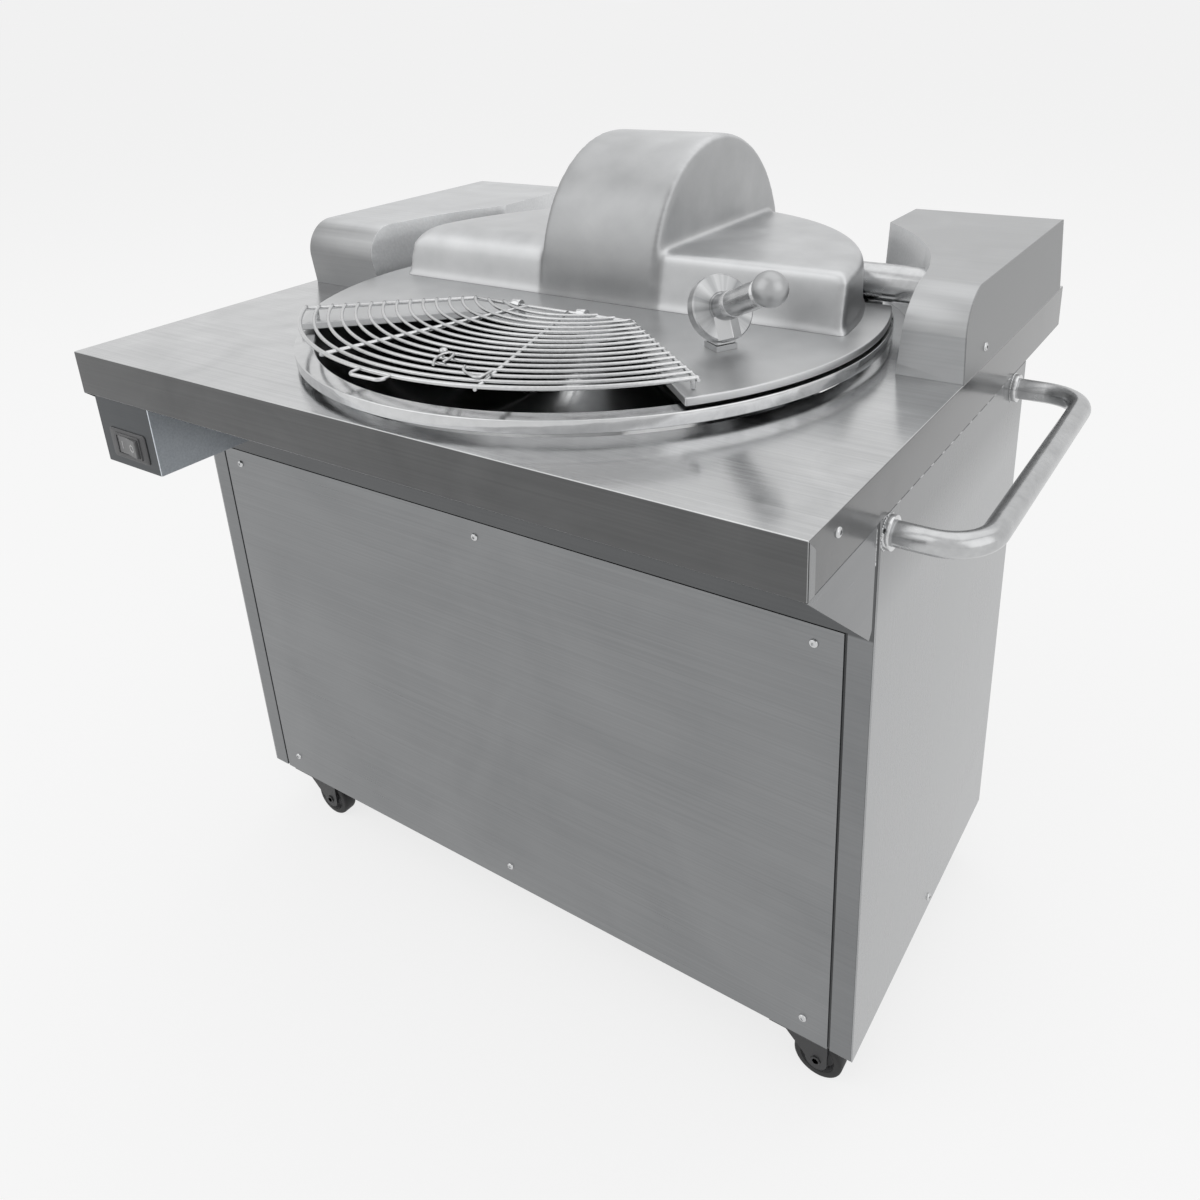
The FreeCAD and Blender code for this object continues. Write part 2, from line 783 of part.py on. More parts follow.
def knife(number, turn):
    tip = s.knife_radius
    outline = (
        (0, s.knife_eye_radius),
        (0, -s.knife_eye_radius, s.knife_eye_radius, 1),
        (tip * cosine(s.knife_tip_start), tip * sine(s.knife_tip_start), tip, 1),
        (tip * cosine(s.knife_tip_end), tip * sine(s.knife_tip_end), tip, 1),
        (0, s.knife_eye_radius, tip, 1),
    )
    x = BOWL_X + s.knife_pitch * (number - 2) - s.knife_thickness / 2
    body, sketch = sketched_body(f"knife_plate_{number}", "YZ_Plane", outline[1:])
    hole = sketch.addGeometry(
        Part.Circle(Vector(0, 0, 0), Vector(0, 0, 1), s.knife_shaft_radius.value), False)
    sketch.addConstraint(Sketcher.Constraint("Coincident", hole, 3, -1, 1))
    size = sketch.addConstraint(
        Sketcher.Constraint("Radius", hole, s.knife_shaft_radius.value))
    bind(sketch, f"Constraints[{size}]", s.knife_shaft_radius)
    feature = body.newObject("PartDesign::Pad", f"knife_pad_{number}")
    feature.Profile = sketch
    bind(feature, "Length", s.knife_thickness)
    place(body, (x, KNIFE_Y, KNIFE_Z), Rotation(Vector(1, 0, 0), turn))
    return node(f"knife_{number}", body)


def shaft_ring(name, start, length, radius):
    ring = rod(name + "_ring", (start, KNIFE_Y, KNIFE_Z), radius, length, "x")
    bore = rod(name + "_bore", (start, KNIFE_Y, KNIFE_Z), s.knife_shaft_radius, length, "x")
    return cut(name, ring, bore)


def knife_spacers():
    rings = [shaft_ring(
        "spacer_0", KNIFE_START, s.knife_pitch * 0.5, s.knife_spacer_radius)]
    for number in (1, 2):
        rings.append(shaft_ring(
            f"spacer_{number}", BOWL_X + s.knife_pitch * (number - 2) + s.knife_thickness / 2,
            s.knife_pitch - s.knife_thickness, s.knife_spacer_radius))
    last = BOWL_X + s.knife_pitch + s.knife_thickness / 2
    rings.append(shaft_ring("spacer_3", last, SHAFT_SHOULDER - last, s.knife_spacer_radius))
    return node("knife_spacers", fuse("spacer_set", *rings))


def knife_nut():
    start = KNIFE_START - s.knife_nut_radius
    cap = s.knife_nut_radius / 3
    outline = (
        (0, 0),
        (0, s.knife_nut_radius - cap),
        (cap, s.knife_nut_radius, cap, -1),
        (s.knife_nut_radius, s.knife_nut_radius),
        (s.knife_nut_radius, 0),
    )
    nut = turned("knife_cap_nut", outline, (start, KNIFE_Y, KNIFE_Z), "H_Axis")
    return node("knife_nut", nut)


def knife_shaft():
    end = PULLEY_X + s.pulley_width / 2 + s.shaft_end
    spindle = rod(
        "spindle_rod", (KNIFE_START, KNIFE_Y, KNIFE_Z), s.knife_shaft_radius,
        end - KNIFE_START, "x")
    collar = rod(
        "spindle_collar", (SHAFT_SHOULDER, KNIFE_Y, KNIFE_Z), s.spindle_bore,
        SPINDLE_START - SHAFT_SHOULDER - s.rest_gap, "x")
    return node("knife_shaft", fuse("knife_spindle", spindle, collar))


def spindle_housing():
    length = SPINDLE_END - SPINDLE_START
    tube = rod("spindle_tube", (SPINDLE_START, KNIFE_Y, KNIFE_Z), s.spindle_radius, length, "x")
    bore = rod("spindle_tube_bore", (SPINDLE_START, KNIFE_Y, KNIFE_Z), s.spindle_bore, length, "x")
    node("spindle_housing", cut("spindle_sleeve", tube, bore))
    rings = []
    for end, x in (("knife", SPINDLE_START), ("pulley", SPINDLE_END - s.bearing_width)):
        ring = rod(
            f"spindle_ring_{end}", (x, KNIFE_Y, KNIFE_Z), s.spindle_bore, s.bearing_width, "x")
        hole = rod(
            f"spindle_ring_bore_{end}", (x, KNIFE_Y, KNIFE_Z),
            s.knife_shaft_radius + s.running_gap, s.bearing_width, "x")
        rings.append(cut(f"spindle_bearing_{end}", ring, hole))
    return node("knife_bearings", fuse("spindle_bearing_pair", *rings))


def spindle_pedestal():
    wide = s.spindle_radius + s.pedestal_margin
    shoulder = s.spindle_radius + s.pedestal_shoulder
    thick = s.pedestal_depth
    x = SPINDLE_END - thick - s.pedestal_end
    outline = (
        (-wide, -s.knife_axis_height),
        (wide, -s.knife_axis_height),
        (shoulder, 0),
        (-shoulder, 0, shoulder, 1),
    )
    stand = pad("pedestal_block", "YZ_Plane", outline, thick, (x, KNIFE_Y, KNIFE_Z))
    bore = rod("pedestal_bore", (x, KNIFE_Y, KNIFE_Z), s.spindle_radius, thick, "x")
    return node("spindle_pedestal", cut("pedestal", stand, bore))


def pulley(name, x, z, bore):
    half = s.pulley_width / 2
    rim = s.pulley_flange
    outline = (
        (-half, bore),
        (-half, s.pulley_flange_radius),
        (rim - half, s.pulley_flange_radius),
        (rim - half, s.pulley_radius),
        (half - rim, s.pulley_radius),
        (half - rim, s.pulley_flange_radius),
        (half, s.pulley_flange_radius),
        (half, bore),
    )
    return node(name, turned(name + "_wheel", outline, (x, KNIFE_Y, z), "H_Axis"))


def drive_belt():
    half = s.pulley_width / 2 - s.pulley_flange - s.belt_gap
    inner = s.pulley_radius + s.belt_gap
    outer = inner + s.belt_thickness
    drop = s.motor_drop

    def loop(name, radius):
        outline = (
            (radius, 0),
            (-radius, 0, radius, 1),
            (-radius, -drop),
            (radius, -drop, radius, 1),
        )
        return pad(name, "YZ_Plane", outline, half * 2, (PULLEY_X - half, KNIFE_Y, KNIFE_Z))

    return node("drive_belt", cut("belt", loop("belt_outer", outer), loop("belt_inner", inner)))


def knife_motor():
    start = PULLEY_X - s.pulley_width / 2 - s.motor_gap - s.motor_length
    bottom = MOTOR_Z - s.motor_radius - s.motor_foot_height
    body = rod("motor_body", (start, KNIFE_Y, MOTOR_Z), s.motor_radius, s.motor_length, "x")
    boss = rod(
        "motor_end_boss", (start + s.motor_length, KNIFE_Y, MOTOR_Z), s.motor_radius / 2,
        s.motor_boss, "x")
    feet = block(
        "motor_feet", (start + s.motor_feet_inset, KNIFE_Y - s.motor_radius, bottom),
        s.motor_length - s.motor_feet_inset * 2, s.motor_radius * 2, s.motor_radius)
    bore = rod(
        "motor_bore", (start + s.motor_bore_depth, KNIFE_Y, MOTOR_Z),
        s.motor_shaft_radius + s.running_gap, s.motor_length, "x")
    node("knife_motor", cut("motor", fuse("motor_solid", body, boss, feet), bore))
    rotor_start = start + s.motor_bore_depth + s.rest_gap
    end = PULLEY_X + s.pulley_width / 2 + s.shaft_end
    shaft = rod(
        "motor_rotor", (rotor_start, KNIFE_Y, MOTOR_Z), s.motor_shaft_radius, end - rotor_start,
        "x")
    node("motor_shaft", shaft)
    margin = s.motor_shelf_margin
    shelf = slab(
        "shelf_plate",
        (start - margin, KNIFE_Y - s.motor_radius - margin, bottom - s.motor_shelf_sheet),
        (RIGHT - s.cabinet_sheet - s.post_width, CABINET_BACK - s.cabinet_sheet, bottom))
    return node("motor_shelf", shelf)


# Covers at the back of the worktop

def cover_outline(inset, full_height):
    """The side view of a rear cover, drawn in by inset at its front, top and back."""
    front = s.cover_front + inset
    back = s.cover_back - inset
    height = full_height - inset
    rounding = s.cover_round - inset
    return (
        (front + s.cover_lean, 0),
        (back, 0),
        (back - s.cover_back_lean, height),
        (front + rounding, height),
        (front, height - rounding, rounding, 1),
    )


def cover_sweep(name, radius, height):
    """A cone about the bowl axis that opens upwards. Its radius is given at the worktop."""
    lean = s.cover_sweep_lean / height
    cone = doc.addObject("Part::Cone", name)
    bind(cone, "Radius1", radius - lean * CUTTER)
    bind(cone, "Radius2", radius + lean * (height + CUTTER))
    bind(cone, "Height", height + CUTTER * 2)
    return place(cone, (BOWL_X, BOWL_Y, TOP - CUTTER))


def rear_cover(side, x, width, height):
    outer = pad(f"cover_{side}_outer", "YZ_Plane", cover_outline(0, height), width, (x, FRONT, TOP))
    inner = pad(
        f"cover_{side}_inner", "YZ_Plane", cover_outline(s.cover_wall, height),
        width - s.cover_wall * 2, (x + s.cover_wall, FRONT, TOP))
    sweep = cover_sweep(f"cover_{side}_sweep", s.cover_sweep_radius, height)
    inner_sweep = cover_sweep(
        f"cover_{side}_inner_sweep", s.cover_sweep_radius + s.cover_wall, height)
    body = cut(f"cover_{side}_body", outer, sweep)
    hollow = cut(f"cover_{side}_hollow", inner, inner_sweep)
    return body, hollow


def rear_covers():
    left = rear_cover("left", LEFT + s.left_cover_inset, s.left_cover_width, s.left_cover_height)
    node("left_cover", cut("cover_left", *left))
    right = rear_cover(
        "right", RIGHT - s.right_cover_width, s.right_cover_width, s.right_cover_height)
    hole = rod(
        "cover_spindle_hole", (SPINDLE_START, KNIFE_Y, KNIFE_Z), s.spindle_radius,
        SPINDLE_END - SPINDLE_START, "x")
    return node("belt_cover", cut("cover_right", *right, hole))


def side_screws():
    return node("side_screws", fuse(
        "side_screw_set",
        screw("cover_screw", (RIGHT, BOWL_Y + s.cover_screw_y, TOP + s.cover_screw_z), "x"),
        screw("apron_screw", (RIGHT, FRONT + s.apron_screw_y, TOP - s.apron_screw_z), "x"),
        screw("panel_side_screw",
              (RIGHT, BOWL_Y + s.panel_side_screw_y, CABINET_BOTTOM + s.panel_side_screw_z), "x")))


# Lid

def lid_plate():
    disc = rod("lid_disc", (BOWL_X, BOWL_Y, LID_BOTTOM), s.lid_radius, s.lid_thickness)
    edge = -s.lid_opening_edge
    reach = s.lid_opening_reach
    corner = s.lid_opening_edge * tangent(s.lid_opening_angle)
    spread = reach * sine(s.lid_opening_angle)
    depth = -reach * cosine(s.lid_opening_angle)
    outline = (
        (corner, edge),
        (-corner, edge),
        (-spread, depth),
        (-spread, -reach),
        (spread, -reach),
        (spread, depth),
    )
    opening = pad(
        "lid_opening", "XY_Plane", outline, CUTTER, (BOWL_X, BOWL_Y, LID_BOTTOM - CUTTER / 2))
    wall = s.dome_wall
    knife_window = block(
        "knife_window",
        (BOWL_X - s.hood_half_width + wall, KNIFE_Y - s.hood_radius + wall, LID_BOTTOM - CUTTER / 2),
        (s.hood_half_width - wall) * 2, (s.hood_radius - wall) * 2, CUTTER)
    half_slot = s.spindle_radius + s.lid_slot_clearance
    slot = block(
        "lid_slot", (BOWL_X, KNIFE_Y - half_slot, LID_BOTTOM - CUTTER / 2), s.lid_radius,
        half_slot * 2, CUTTER)
    return node("lid_plate", cut("lid", disc, opening, knife_window, slot))


def dome_outline(radius, height, corner):
    return (
        (0, 0),
        (radius, 0),
        (radius, height - corner),
        (radius - corner, height, corner, 1),
        (0, height),
    )


def dome_half(name, shrink, side):
    """A quarter of the low dome, right or left of the bowl axis and behind it."""
    corner = s.dome_corner_right if side == "right" else s.dome_corner_left
    outline = dome_outline(s.dome_radius - shrink, s.dome_height - shrink, corner - shrink)
    turn = Rotation(Vector(0, 0, 1), 0 if side == "right" else QUARTER_TURN)
    return turned(name, outline, (BOWL_X, BOWL_Y, LID_TOP), angle=QUARTER_TURN, rotation=turn)


def dome_front_cut(name, inset):
    """What is cut off in front of the low dome, whose front wall leans back."""
    slope = s.dome_lean / s.dome_height
    outline = (
        (-OVERCUT, 0),
        (s.dome_front + inset, 0),
        (s.dome_front + inset + slope * CUTTER * 2, CUTTER * 2),
        (-OVERCUT, CUTTER * 2),
    )
    return pad(
        name, "YZ_Plane", outline, s.dome_radius * 2,
        (BOWL_X - s.dome_radius, BOWL_Y, LID_TOP))


def hood_outline(radius):
    centre = s.knife_axis_height + TOP - LID_TOP
    return (
        (radius, 0),
        (radius, centre),
        (-radius, centre, radius, 1),
        (-radius, 0),
    )


def knife_hood():
    wall = s.dome_wall
    hood = pad(
        "hood_outer", "YZ_Plane", hood_outline(s.hood_radius), s.hood_half_width * 2,
        (BOWL_X - s.hood_half_width, KNIFE_Y, LID_TOP))
    hollow = pad(
        "hood_inner", "YZ_Plane", hood_outline(s.hood_radius - wall),
        (s.hood_half_width - wall) * 2, (BOWL_X - s.hood_half_width + wall, KNIFE_Y, LID_TOP))
    shell = cut(
        "dome_shell",
        fuse("dome_outer", dome_half("dome_outer_right", 0, "right"),
             dome_half("dome_outer_left", 0, "left")),
        dome_front_cut("dome_front_cut", 0))
    inner = cut(
        "dome_hollow",
        fuse("dome_inner", dome_half("dome_inner_right", wall, "right"),
             dome_half("dome_inner_left", wall, "left")),
        dome_front_cut("dome_inner_cut", wall))
    half_slot = s.spindle_radius + s.lid_slot_clearance
    slot_height = KNIFE_Z - LID_TOP
    slot_outline = (
        (half_slot, -OVERCUT),
        (half_slot, slot_height),
        (-half_slot, slot_height, half_slot, 1),
        (-half_slot, -OVERCUT),
    )
    slot = pad(
        "hood_slot", "YZ_Plane", slot_outline, s.lid_radius, (BOWL_X, KNIFE_Y, LID_TOP))
    outer = fuse("hood_solid", hood, shell)
    return node("knife_hood", cut("hood", outer, hollow, inner, slot))


def lid_hinge():
    half = s.hinge_width / 2
    ear_round = s.hinge_ear_round
    ear_foot = ear_round + s.hinge_ear_spread
    height = s.hinge_height
    outline = (
        (-ear_foot, 0),
        (ear_foot, 0),
        (ear_round, height),
        (-ear_round, height, ear_round, 1),
    )
    ears = []
    for side, x in (("left", BOWL_X - half - s.hinge_ear), ("right", BOWL_X + half)):
        ears.append(pad(
            f"hinge_ear_{side}", "YZ_Plane", outline, s.hinge_ear, (x, HINGE_Y, TOP)))
    foot_half = half + s.hinge_ear + s.hinge_foot_margin
    foot = slab(
        "hinge_foot", (BOWL_X - foot_half, HINGE_Y - ear_foot, TOP),
        (BOWL_X + foot_half, BACK - s.hinge_back_gap, TOP + s.hinge_base))
    reach = half + s.hinge_ear + s.hinge_pin_end
    hole = rod(
        "hinge_hole", (BOWL_X - reach, HINGE_Y, HINGE_Z), s.hinge_pin_radius, reach * 2, "x")
    node("lid_hinge_bracket", cut("hinge_bracket", fuse("hinge_body", foot, *ears), hole))
    pin = rod("hinge_rod", (BOWL_X - reach, HINGE_Y, HINGE_Z), s.hinge_pin_radius, reach * 2, "x")
    node("lid_hinge_pin", pin)
    knuckle_half = half - s.hinge_side_gap
    start = BOWL_X - knuckle_half
    knuckle = rod(
        "hinge_knuckle", (start, HINGE_Y, HINGE_Z), s.hinge_knuckle_radius, knuckle_half * 2, "x")
    arm = slab(
        "hinge_strap", (start, KNIFE_Y + s.hood_radius, LID_TOP),
        (BOWL_X + knuckle_half, HINGE_Y, HINGE_Z + s.hinge_strap_rise))
    bore = rod(
        "hinge_knuckle_bore", (start, HINGE_Y, HINGE_Z), s.hinge_pin_radius + s.running_gap,
        knuckle_half * 2, "x")
    return node("lid_hinge_arm", cut("hinge_arm", fuse("hinge_arm_body", knuckle, arm), bore))


# Wire guard

def guard_ray(name, angle, start, end, radius):
    """A straight wire away from the bowl axis, at an angle from the front towards the right."""
    wire = doc.addObject("Part::Cylinder", name)
    bind(wire, "Radius", radius)
    bind(wire, "Height", end - start)
    x = BOWL_X + start * sine(angle)
    y = BOWL_Y - start * cosine(angle)
    turn = Rotation(Vector(0, 0, 1), as_size(angle).value - 90) * ALONG_X
    return place(wire, (x, y, GUARD_Z - s.guard_wire), turn)


def guard_arcs():
    """Wires about the bowl axis. The inner ones end on the pivot wire, the rest at the rays."""
    wires = []
    count = round(s.guard_arcs.value)
    for index in range(count + 1):
        radius = s.guard_radius - s.guard_spacing * index
        wire = s.guard_frame_wire if index == 0 else s.guard_wire
        half = s.guard_angle
        if (radius * cosine(half)).value < s.guard_pivot_offset.value:
            half = arc_cosine(s.guard_pivot_offset / radius)
        wires.append(bend(
            f"guard_arc_{index}", (BOWL_X, BOWL_Y, GUARD_Z), radius, wire,
            FRONT_SIDE - half, half * 2))
    return wires


def guard_loop():
    """A finger loop outside the front wire."""
    half = s.guard_loop_width / 2
    turn = s.guard_loop_bend
    x = BOWL_X + s.guard_radius * sine(s.guard_loop_angle)
    inner = BOWL_Y - s.guard_radius
    outer = inner - s.guard_loop_reach
    pieces = []
    for side, sign, start in (("left", -1, FRONT_SIDE - QUARTER_TURN), ("right", 1, FRONT_SIDE)):
        pieces.append(rod(
            f"guard_loop_leg_{side}", (x + half * sign, outer + turn, GUARD_Z), s.guard_wire,
            s.guard_loop_reach - turn + s.guard_loop_overlap, "y"))
        pieces.append(bend(
            f"guard_loop_bend_{side}", (x + (half - turn) * sign, outer + turn, GUARD_Z), turn,
            s.guard_wire, start, QUARTER_TURN))
    pieces.append(rod(
        "guard_loop_bar", (x - half + turn, outer, GUARD_Z), s.guard_wire, (half - turn) * 2, "x"))
    return pieces


def guard_feet():
    """Short legs by which the outer corners rest on the lid."""
    legs = []
    reach = s.guard_radius - s.guard_foot_inset
    for side, sign in (("left", -1), ("right", 1)):
        x = BOWL_X + reach * sine(s.guard_angle) * sign
        y = BOWL_Y - reach * cosine(s.guard_angle)
        base = LID_TOP + s.rest_gap
        legs.append(rod(f"guard_foot_{side}", (x, y, base), s.guard_frame_wire, GUARD_Z - base))
    return legs


def guard():
    wires = guard_arcs() + guard_loop() + guard_feet()
    rays = []
    inner = s.guard_pivot_offset / cosine(s.guard_angle)
    for index, share in enumerate((-1, -s.guard_left_ray, s.guard_right_ray, 1)):
        angle = s.guard_angle * share
        start = s.guard_pivot_offset / cosine(angle)
        rays.append(guard_ray(
            f"guard_ray_{index}", angle, start, s.guard_radius + s.guard_frame_wire,
            s.guard_frame_wire))
    half = inner * sine(s.guard_angle) + s.guard_pivot_end
    pivot = rod(
        "guard_pivot", (BOWL_X - half, GUARD_PIVOT_Y, GUARD_Z - s.guard_wire), s.guard_frame_wire,
        half * 2, "x")
    return node("guard", fuse("guard_wires", *wires, *rays, pivot))


def guard_lugs():
    width = s.guard_lug_width
    round_radius = s.guard_frame_wire + s.guard_lug_wall
    height = GUARD_Z - s.guard_wire - LID_TOP
    outline = (
        (-round_radius, 0),
        (round_radius, 0),
        (round_radius, height),
        (-round_radius, height, round_radius, 1),
    )
    lugs = []
    for side, x in (("left", BOWL_X - s.guard_lug_spread), ("right", BOWL_X + s.guard_lug_spread)):
        lugs.append(pad(
            f"guard_lug_{side}", "YZ_Plane", outline, width,
            (x - width / 2, GUARD_PIVOT_Y, LID_TOP)))
    hole = rod(
        "guard_lug_hole", (BOWL_X - s.lid_radius, GUARD_PIVOT_Y, GUARD_Z - s.guard_wire),
        s.guard_frame_wire + s.running_gap, s.lid_radius * 2, "x")
    return node("guard_lugs", cut("guard_lug_pair", fuse("guard_lug_bodies", *lugs), hole))


# Lever on the lid

def lever_axis():
    """Rotation that takes +Z to the axis of the lever's hub and arm."""
    lean = Rotation(Vector(0, 1, 0), 90 - s.lever_rise.value)
    return Rotation(Vector(0, 0, 1), -s.lever_turn.value) * lean


def along_lever(distance):
    """A point on the hub's axis, at a distance from the hub's middle."""
    level = cosine(s.lever_rise)
    x = BOWL_X + s.lever_x + distance * level * cosine(s.lever_turn)
    y = BOWL_Y + s.lever_y - distance * level * sine(s.lever_turn)
    z = LID_TOP + s.lever_hub_height + distance * sine(s.lever_rise)
    return x, y, z


def lever():
    x = BOWL_X + s.lever_x
    y = BOWL_Y + s.lever_y
    side = s.lever_foot_width / 2
    corners = ((-side, -side), (side, -side), (side, side), (-side, side))
    lump = pad(
        "lever_block", "XY_Plane", corners, s.lever_foot_height, (x, y, LID_TOP),
        Rotation(Vector(0, 0, 1), -s.lever_turn.value))
    bore = rod(
        "lever_block_bore", (x, y, LID_TOP), s.lever_stud_radius + s.running_gap,
        s.lever_foot_height)
    node("lever_foot", cut("lever_foot_block", lump, bore))
    half = s.lever_hub_thickness / 2
    disc = doc.addObject("Part::Cylinder", "lever_disc")
    bind(disc, "Radius", s.lever_hub_radius)
    bind(disc, "Height", s.lever_hub_thickness)
    place(disc, along_lever(-half), lever_axis())
    neck = rod(
        "lever_neck", (x, y, LID_TOP + s.lever_foot_height + s.rest_gap),
        s.lever_neck_radius, s.lever_hub_height - s.lever_foot_height)
    stud = rod(
        "lever_stud", (x, y, LID_TOP + s.lever_stud_gap), s.lever_stud_radius, s.lever_hub_height)
    arm = doc.addObject("Part::Cylinder", "lever_rod")
    bind(arm, "Radius", s.lever_arm_radius)
    bind(arm, "Height", s.lever_arm_length)
    place(arm, along_lever(half), lever_axis())
    ball = doc.addObject("Part::Sphere", "lever_knob")
    bind(ball, "Radius", s.lever_ball_radius)
    reach = half + s.lever_arm_length + s.lever_ball_radius - s.lever_ball_seat
    place(ball, along_lever(reach))
    node("lever_hub", cut("lever_hub_seat", fuse("lever_hub_body", disc, neck, stud), arm))
    node("lever_arm", arm)
    node("lever_ball", cut("lever_knob_seat", ball, arm))


# Push handle

def rail(name, radius):
    """The handle's path: out from the side, along it and back, as straight runs and bends."""
    z = TOP - s.handle_drop
    centre_x = RIGHT + s.handle_reach - s.handle_tube
    turn_x = centre_x - s.handle_bend
    front = FRONT + s.handle_front
    rear = FRONT + s.handle_rear
    return fuse(
        name,
        rod(name + "_front", (RIGHT, front, z), radius, turn_x - RIGHT, "x"),
        bend(name + "_front_bend", (turn_x, front + s.handle_bend, z), s.handle_bend, radius,
             FRONT_SIDE, QUARTER_TURN),
        rod(name + "_grip", (centre_x, front + s.handle_bend, z), radius,
            rear - front - s.handle_bend * 2, "y"),
        bend(name + "_rear_bend", (turn_x, rear - s.handle_bend, z), s.handle_bend, radius,
             0, QUARTER_TURN),
        rod(name + "_rear", (RIGHT, rear, z), radius, turn_x - RIGHT, "x"))


def push_handle():
    tube = cut(
        "handle_tube", rail("handle_outer", s.handle_tube),
        rail("handle_inner", s.handle_tube - s.handle_wall))
    node("push_handle", tube)
    z = TOP - s.handle_drop
    rings = []
    for end, y in (("front", FRONT + s.handle_front), ("rear", FRONT + s.handle_rear)):
        ring = rod(
            f"collar_{end}_outer", (RIGHT, y, z), s.handle_collar_radius, s.handle_collar_length,
            "x")
        hole = rod(
            f"collar_{end}_hole", (RIGHT, y, z), s.handle_tube, s.handle_collar_length, "x")
        rings.append(cut(f"collar_{end}", ring, hole))
    return node("handle_collars", fuse("collar_pair", *rings))


# Control box and switch

CONTROL_LEFT = LEFT + s.control_from_left
CONTROL_FRONT = FRONT + s.control_setback
SWITCH_X = CONTROL_LEFT + s.control_width / 2
SWITCH_Z = CABINET_TOP - s.switch_drop


def control_box():
    outer = block(
        "control_outer", (CONTROL_LEFT, CONTROL_FRONT, CABINET_TOP - s.control_height),
        s.control_width, CABINET_FRONT - CONTROL_FRONT, s.control_height)
    sheet_ = s.control_sheet
    inner = block(
        "control_inner",
        (CONTROL_LEFT + sheet_, CONTROL_FRONT + sheet_, CABINET_TOP - s.control_height + sheet_),
        s.control_width - sheet_ * 2, CABINET_FRONT - CONTROL_FRONT - sheet_ * 2,
        s.control_height - sheet_ * 2)
    margin = s.switch_window_margin
    window = block(
        "control_window",
        (SWITCH_X - s.rocker_length / 2 - margin, CONTROL_FRONT - sheet_ / 2,
         SWITCH_Z - s.rocker_height / 2 - margin),
        s.rocker_length + margin * 2, sheet_ * 2, s.rocker_height + margin * 2)
    return node("control_box", cut("control", outer, inner, window))


def switch():
    plate = block(
        "switch_base",
        (SWITCH_X - s.switch_length / 2, CONTROL_FRONT - s.switch_plate_thickness,
         SWITCH_Z - s.switch_height / 2),
        s.switch_length, s.switch_plate_thickness, s.switch_height)
    gap = s.rocker_gap
    window = block(
        "switch_window",
        (SWITCH_X - s.rocker_length / 2 - gap, CONTROL_FRONT - CUTTER / 2,
         SWITCH_Z - s.rocker_height / 2 - gap),
        s.rocker_length + gap * 2, CUTTER, s.rocker_height + gap * 2)
    node("switch_plate", cut("switch_bezel", plate, window))
    half = s.rocker_length / 2
    lift = half * tangent(s.rocker_tilt)
    front = -s.switch_plate_thickness
    end = half - s.rocker_end_gap
    outline = (
        (-end, front + s.rocker_end_gap),
        (0, front - s.rocker_crown),
        (end, front - s.rocker_crown - lift),
        (end, s.rocker_depth),
        (-end, s.rocker_depth),
    )
    base = (SWITCH_X, CONTROL_FRONT, SWITCH_Z - s.rocker_height / 2)
    paddle = pad("rocker_paddle", "XY_Plane", outline, s.rocker_height, base)
    pivot = rod("rocker_pivot", base, s.rocker_pivot_radius, s.rocker_height)
    return node("switch_rocker", fuse("rocker", paddle, pivot))


# Castors

def castor(name, x, y):
    plate_bottom = CABINET_BOTTOM - s.castor_plate_thickness
    half = s.castor_plate / 2
    plate = block(
        f"castor_plate_{name}", (x - half, y - half, plate_bottom), s.castor_plate, s.castor_plate,
        s.castor_plate_thickness)
    socket = rod(
        f"castor_socket_{name}", (x, y, plate_bottom), s.castor_axle_radius + s.running_gap,
        s.castor_plate_thickness)
    mount = cut(f"castor_mount_{name}", plate, socket)
    wheel_z = s.castor_wheel_radius
    wheel_x = x + s.castor_trail
    half_width = s.castor_wheel_width / 2
    inner = half_width + s.castor_cheek_gap
    outer = inner + s.castor_cheek
    crown_top = plate_bottom - s.rest_gap
    crown_bottom = wheel_z + s.castor_wheel_radius + s.castor_wheel_gap
    cheek_radius = s.castor_cheek_radius
    outline = (
        (-s.castor_neck_radius, crown_top),
        (-s.castor_neck_radius, crown_bottom - s.castor_crown_round),
        (s.castor_trail - cheek_radius, wheel_z),
        (s.castor_trail + cheek_radius, wheel_z, cheek_radius, 1),
        (s.castor_trail + cheek_radius, crown_bottom),
        (s.castor_neck_radius, crown_top),
    )
    sides = [
        pad(f"castor_cheek_front_{name}", "XZ_Plane", outline, s.castor_cheek, (x, y - outer, 0)),
        pad(f"castor_cheek_rear_{name}", "XZ_Plane", outline, s.castor_cheek, (x, y + inner, 0)),
    ]
    crown = slab(
        f"castor_crown_{name}", (x - s.castor_neck_radius, y - outer, crown_bottom),
        (x + s.castor_neck_radius, y + outer, crown_top))
    stem = rod(
        f"castor_stem_{name}", (x, y, crown_bottom), s.castor_axle_radius,
        CABINET_BOTTOM - crown_bottom - s.rest_gap)
    axle = rod(
        f"castor_axle_{name}", (wheel_x, y - outer - s.castor_wheel_gap, wheel_z),
        s.castor_axle_radius, (outer + s.castor_wheel_gap) * 2, "y")
    node(f"castor_fork_{name}", fuse(f"castor_yoke_{name}", *sides, crown, stem, axle))
    tyre_round = s.castor_tyre_round
    tread = (
        (-half_width, s.castor_axle_radius + s.running_gap),
        (-half_width, s.castor_wheel_radius - tyre_round),
        (tyre_round - half_width, s.castor_wheel_radius, tyre_round, -1),
        (half_width - tyre_round, s.castor_wheel_radius),
        (half_width, s.castor_wheel_radius - tyre_round, tyre_round, -1),
        (half_width, s.castor_axle_radius + s.running_gap),
    )
    wheel = turned(
        f"castor_tyre_{name}", tread, (wheel_x, y, wheel_z), "H_Axis",
        rotation=Rotation(Vector(0, 0, 1), QUARTER_TURN))
    node(f"castor_wheel_{name}", wheel)
    return mount


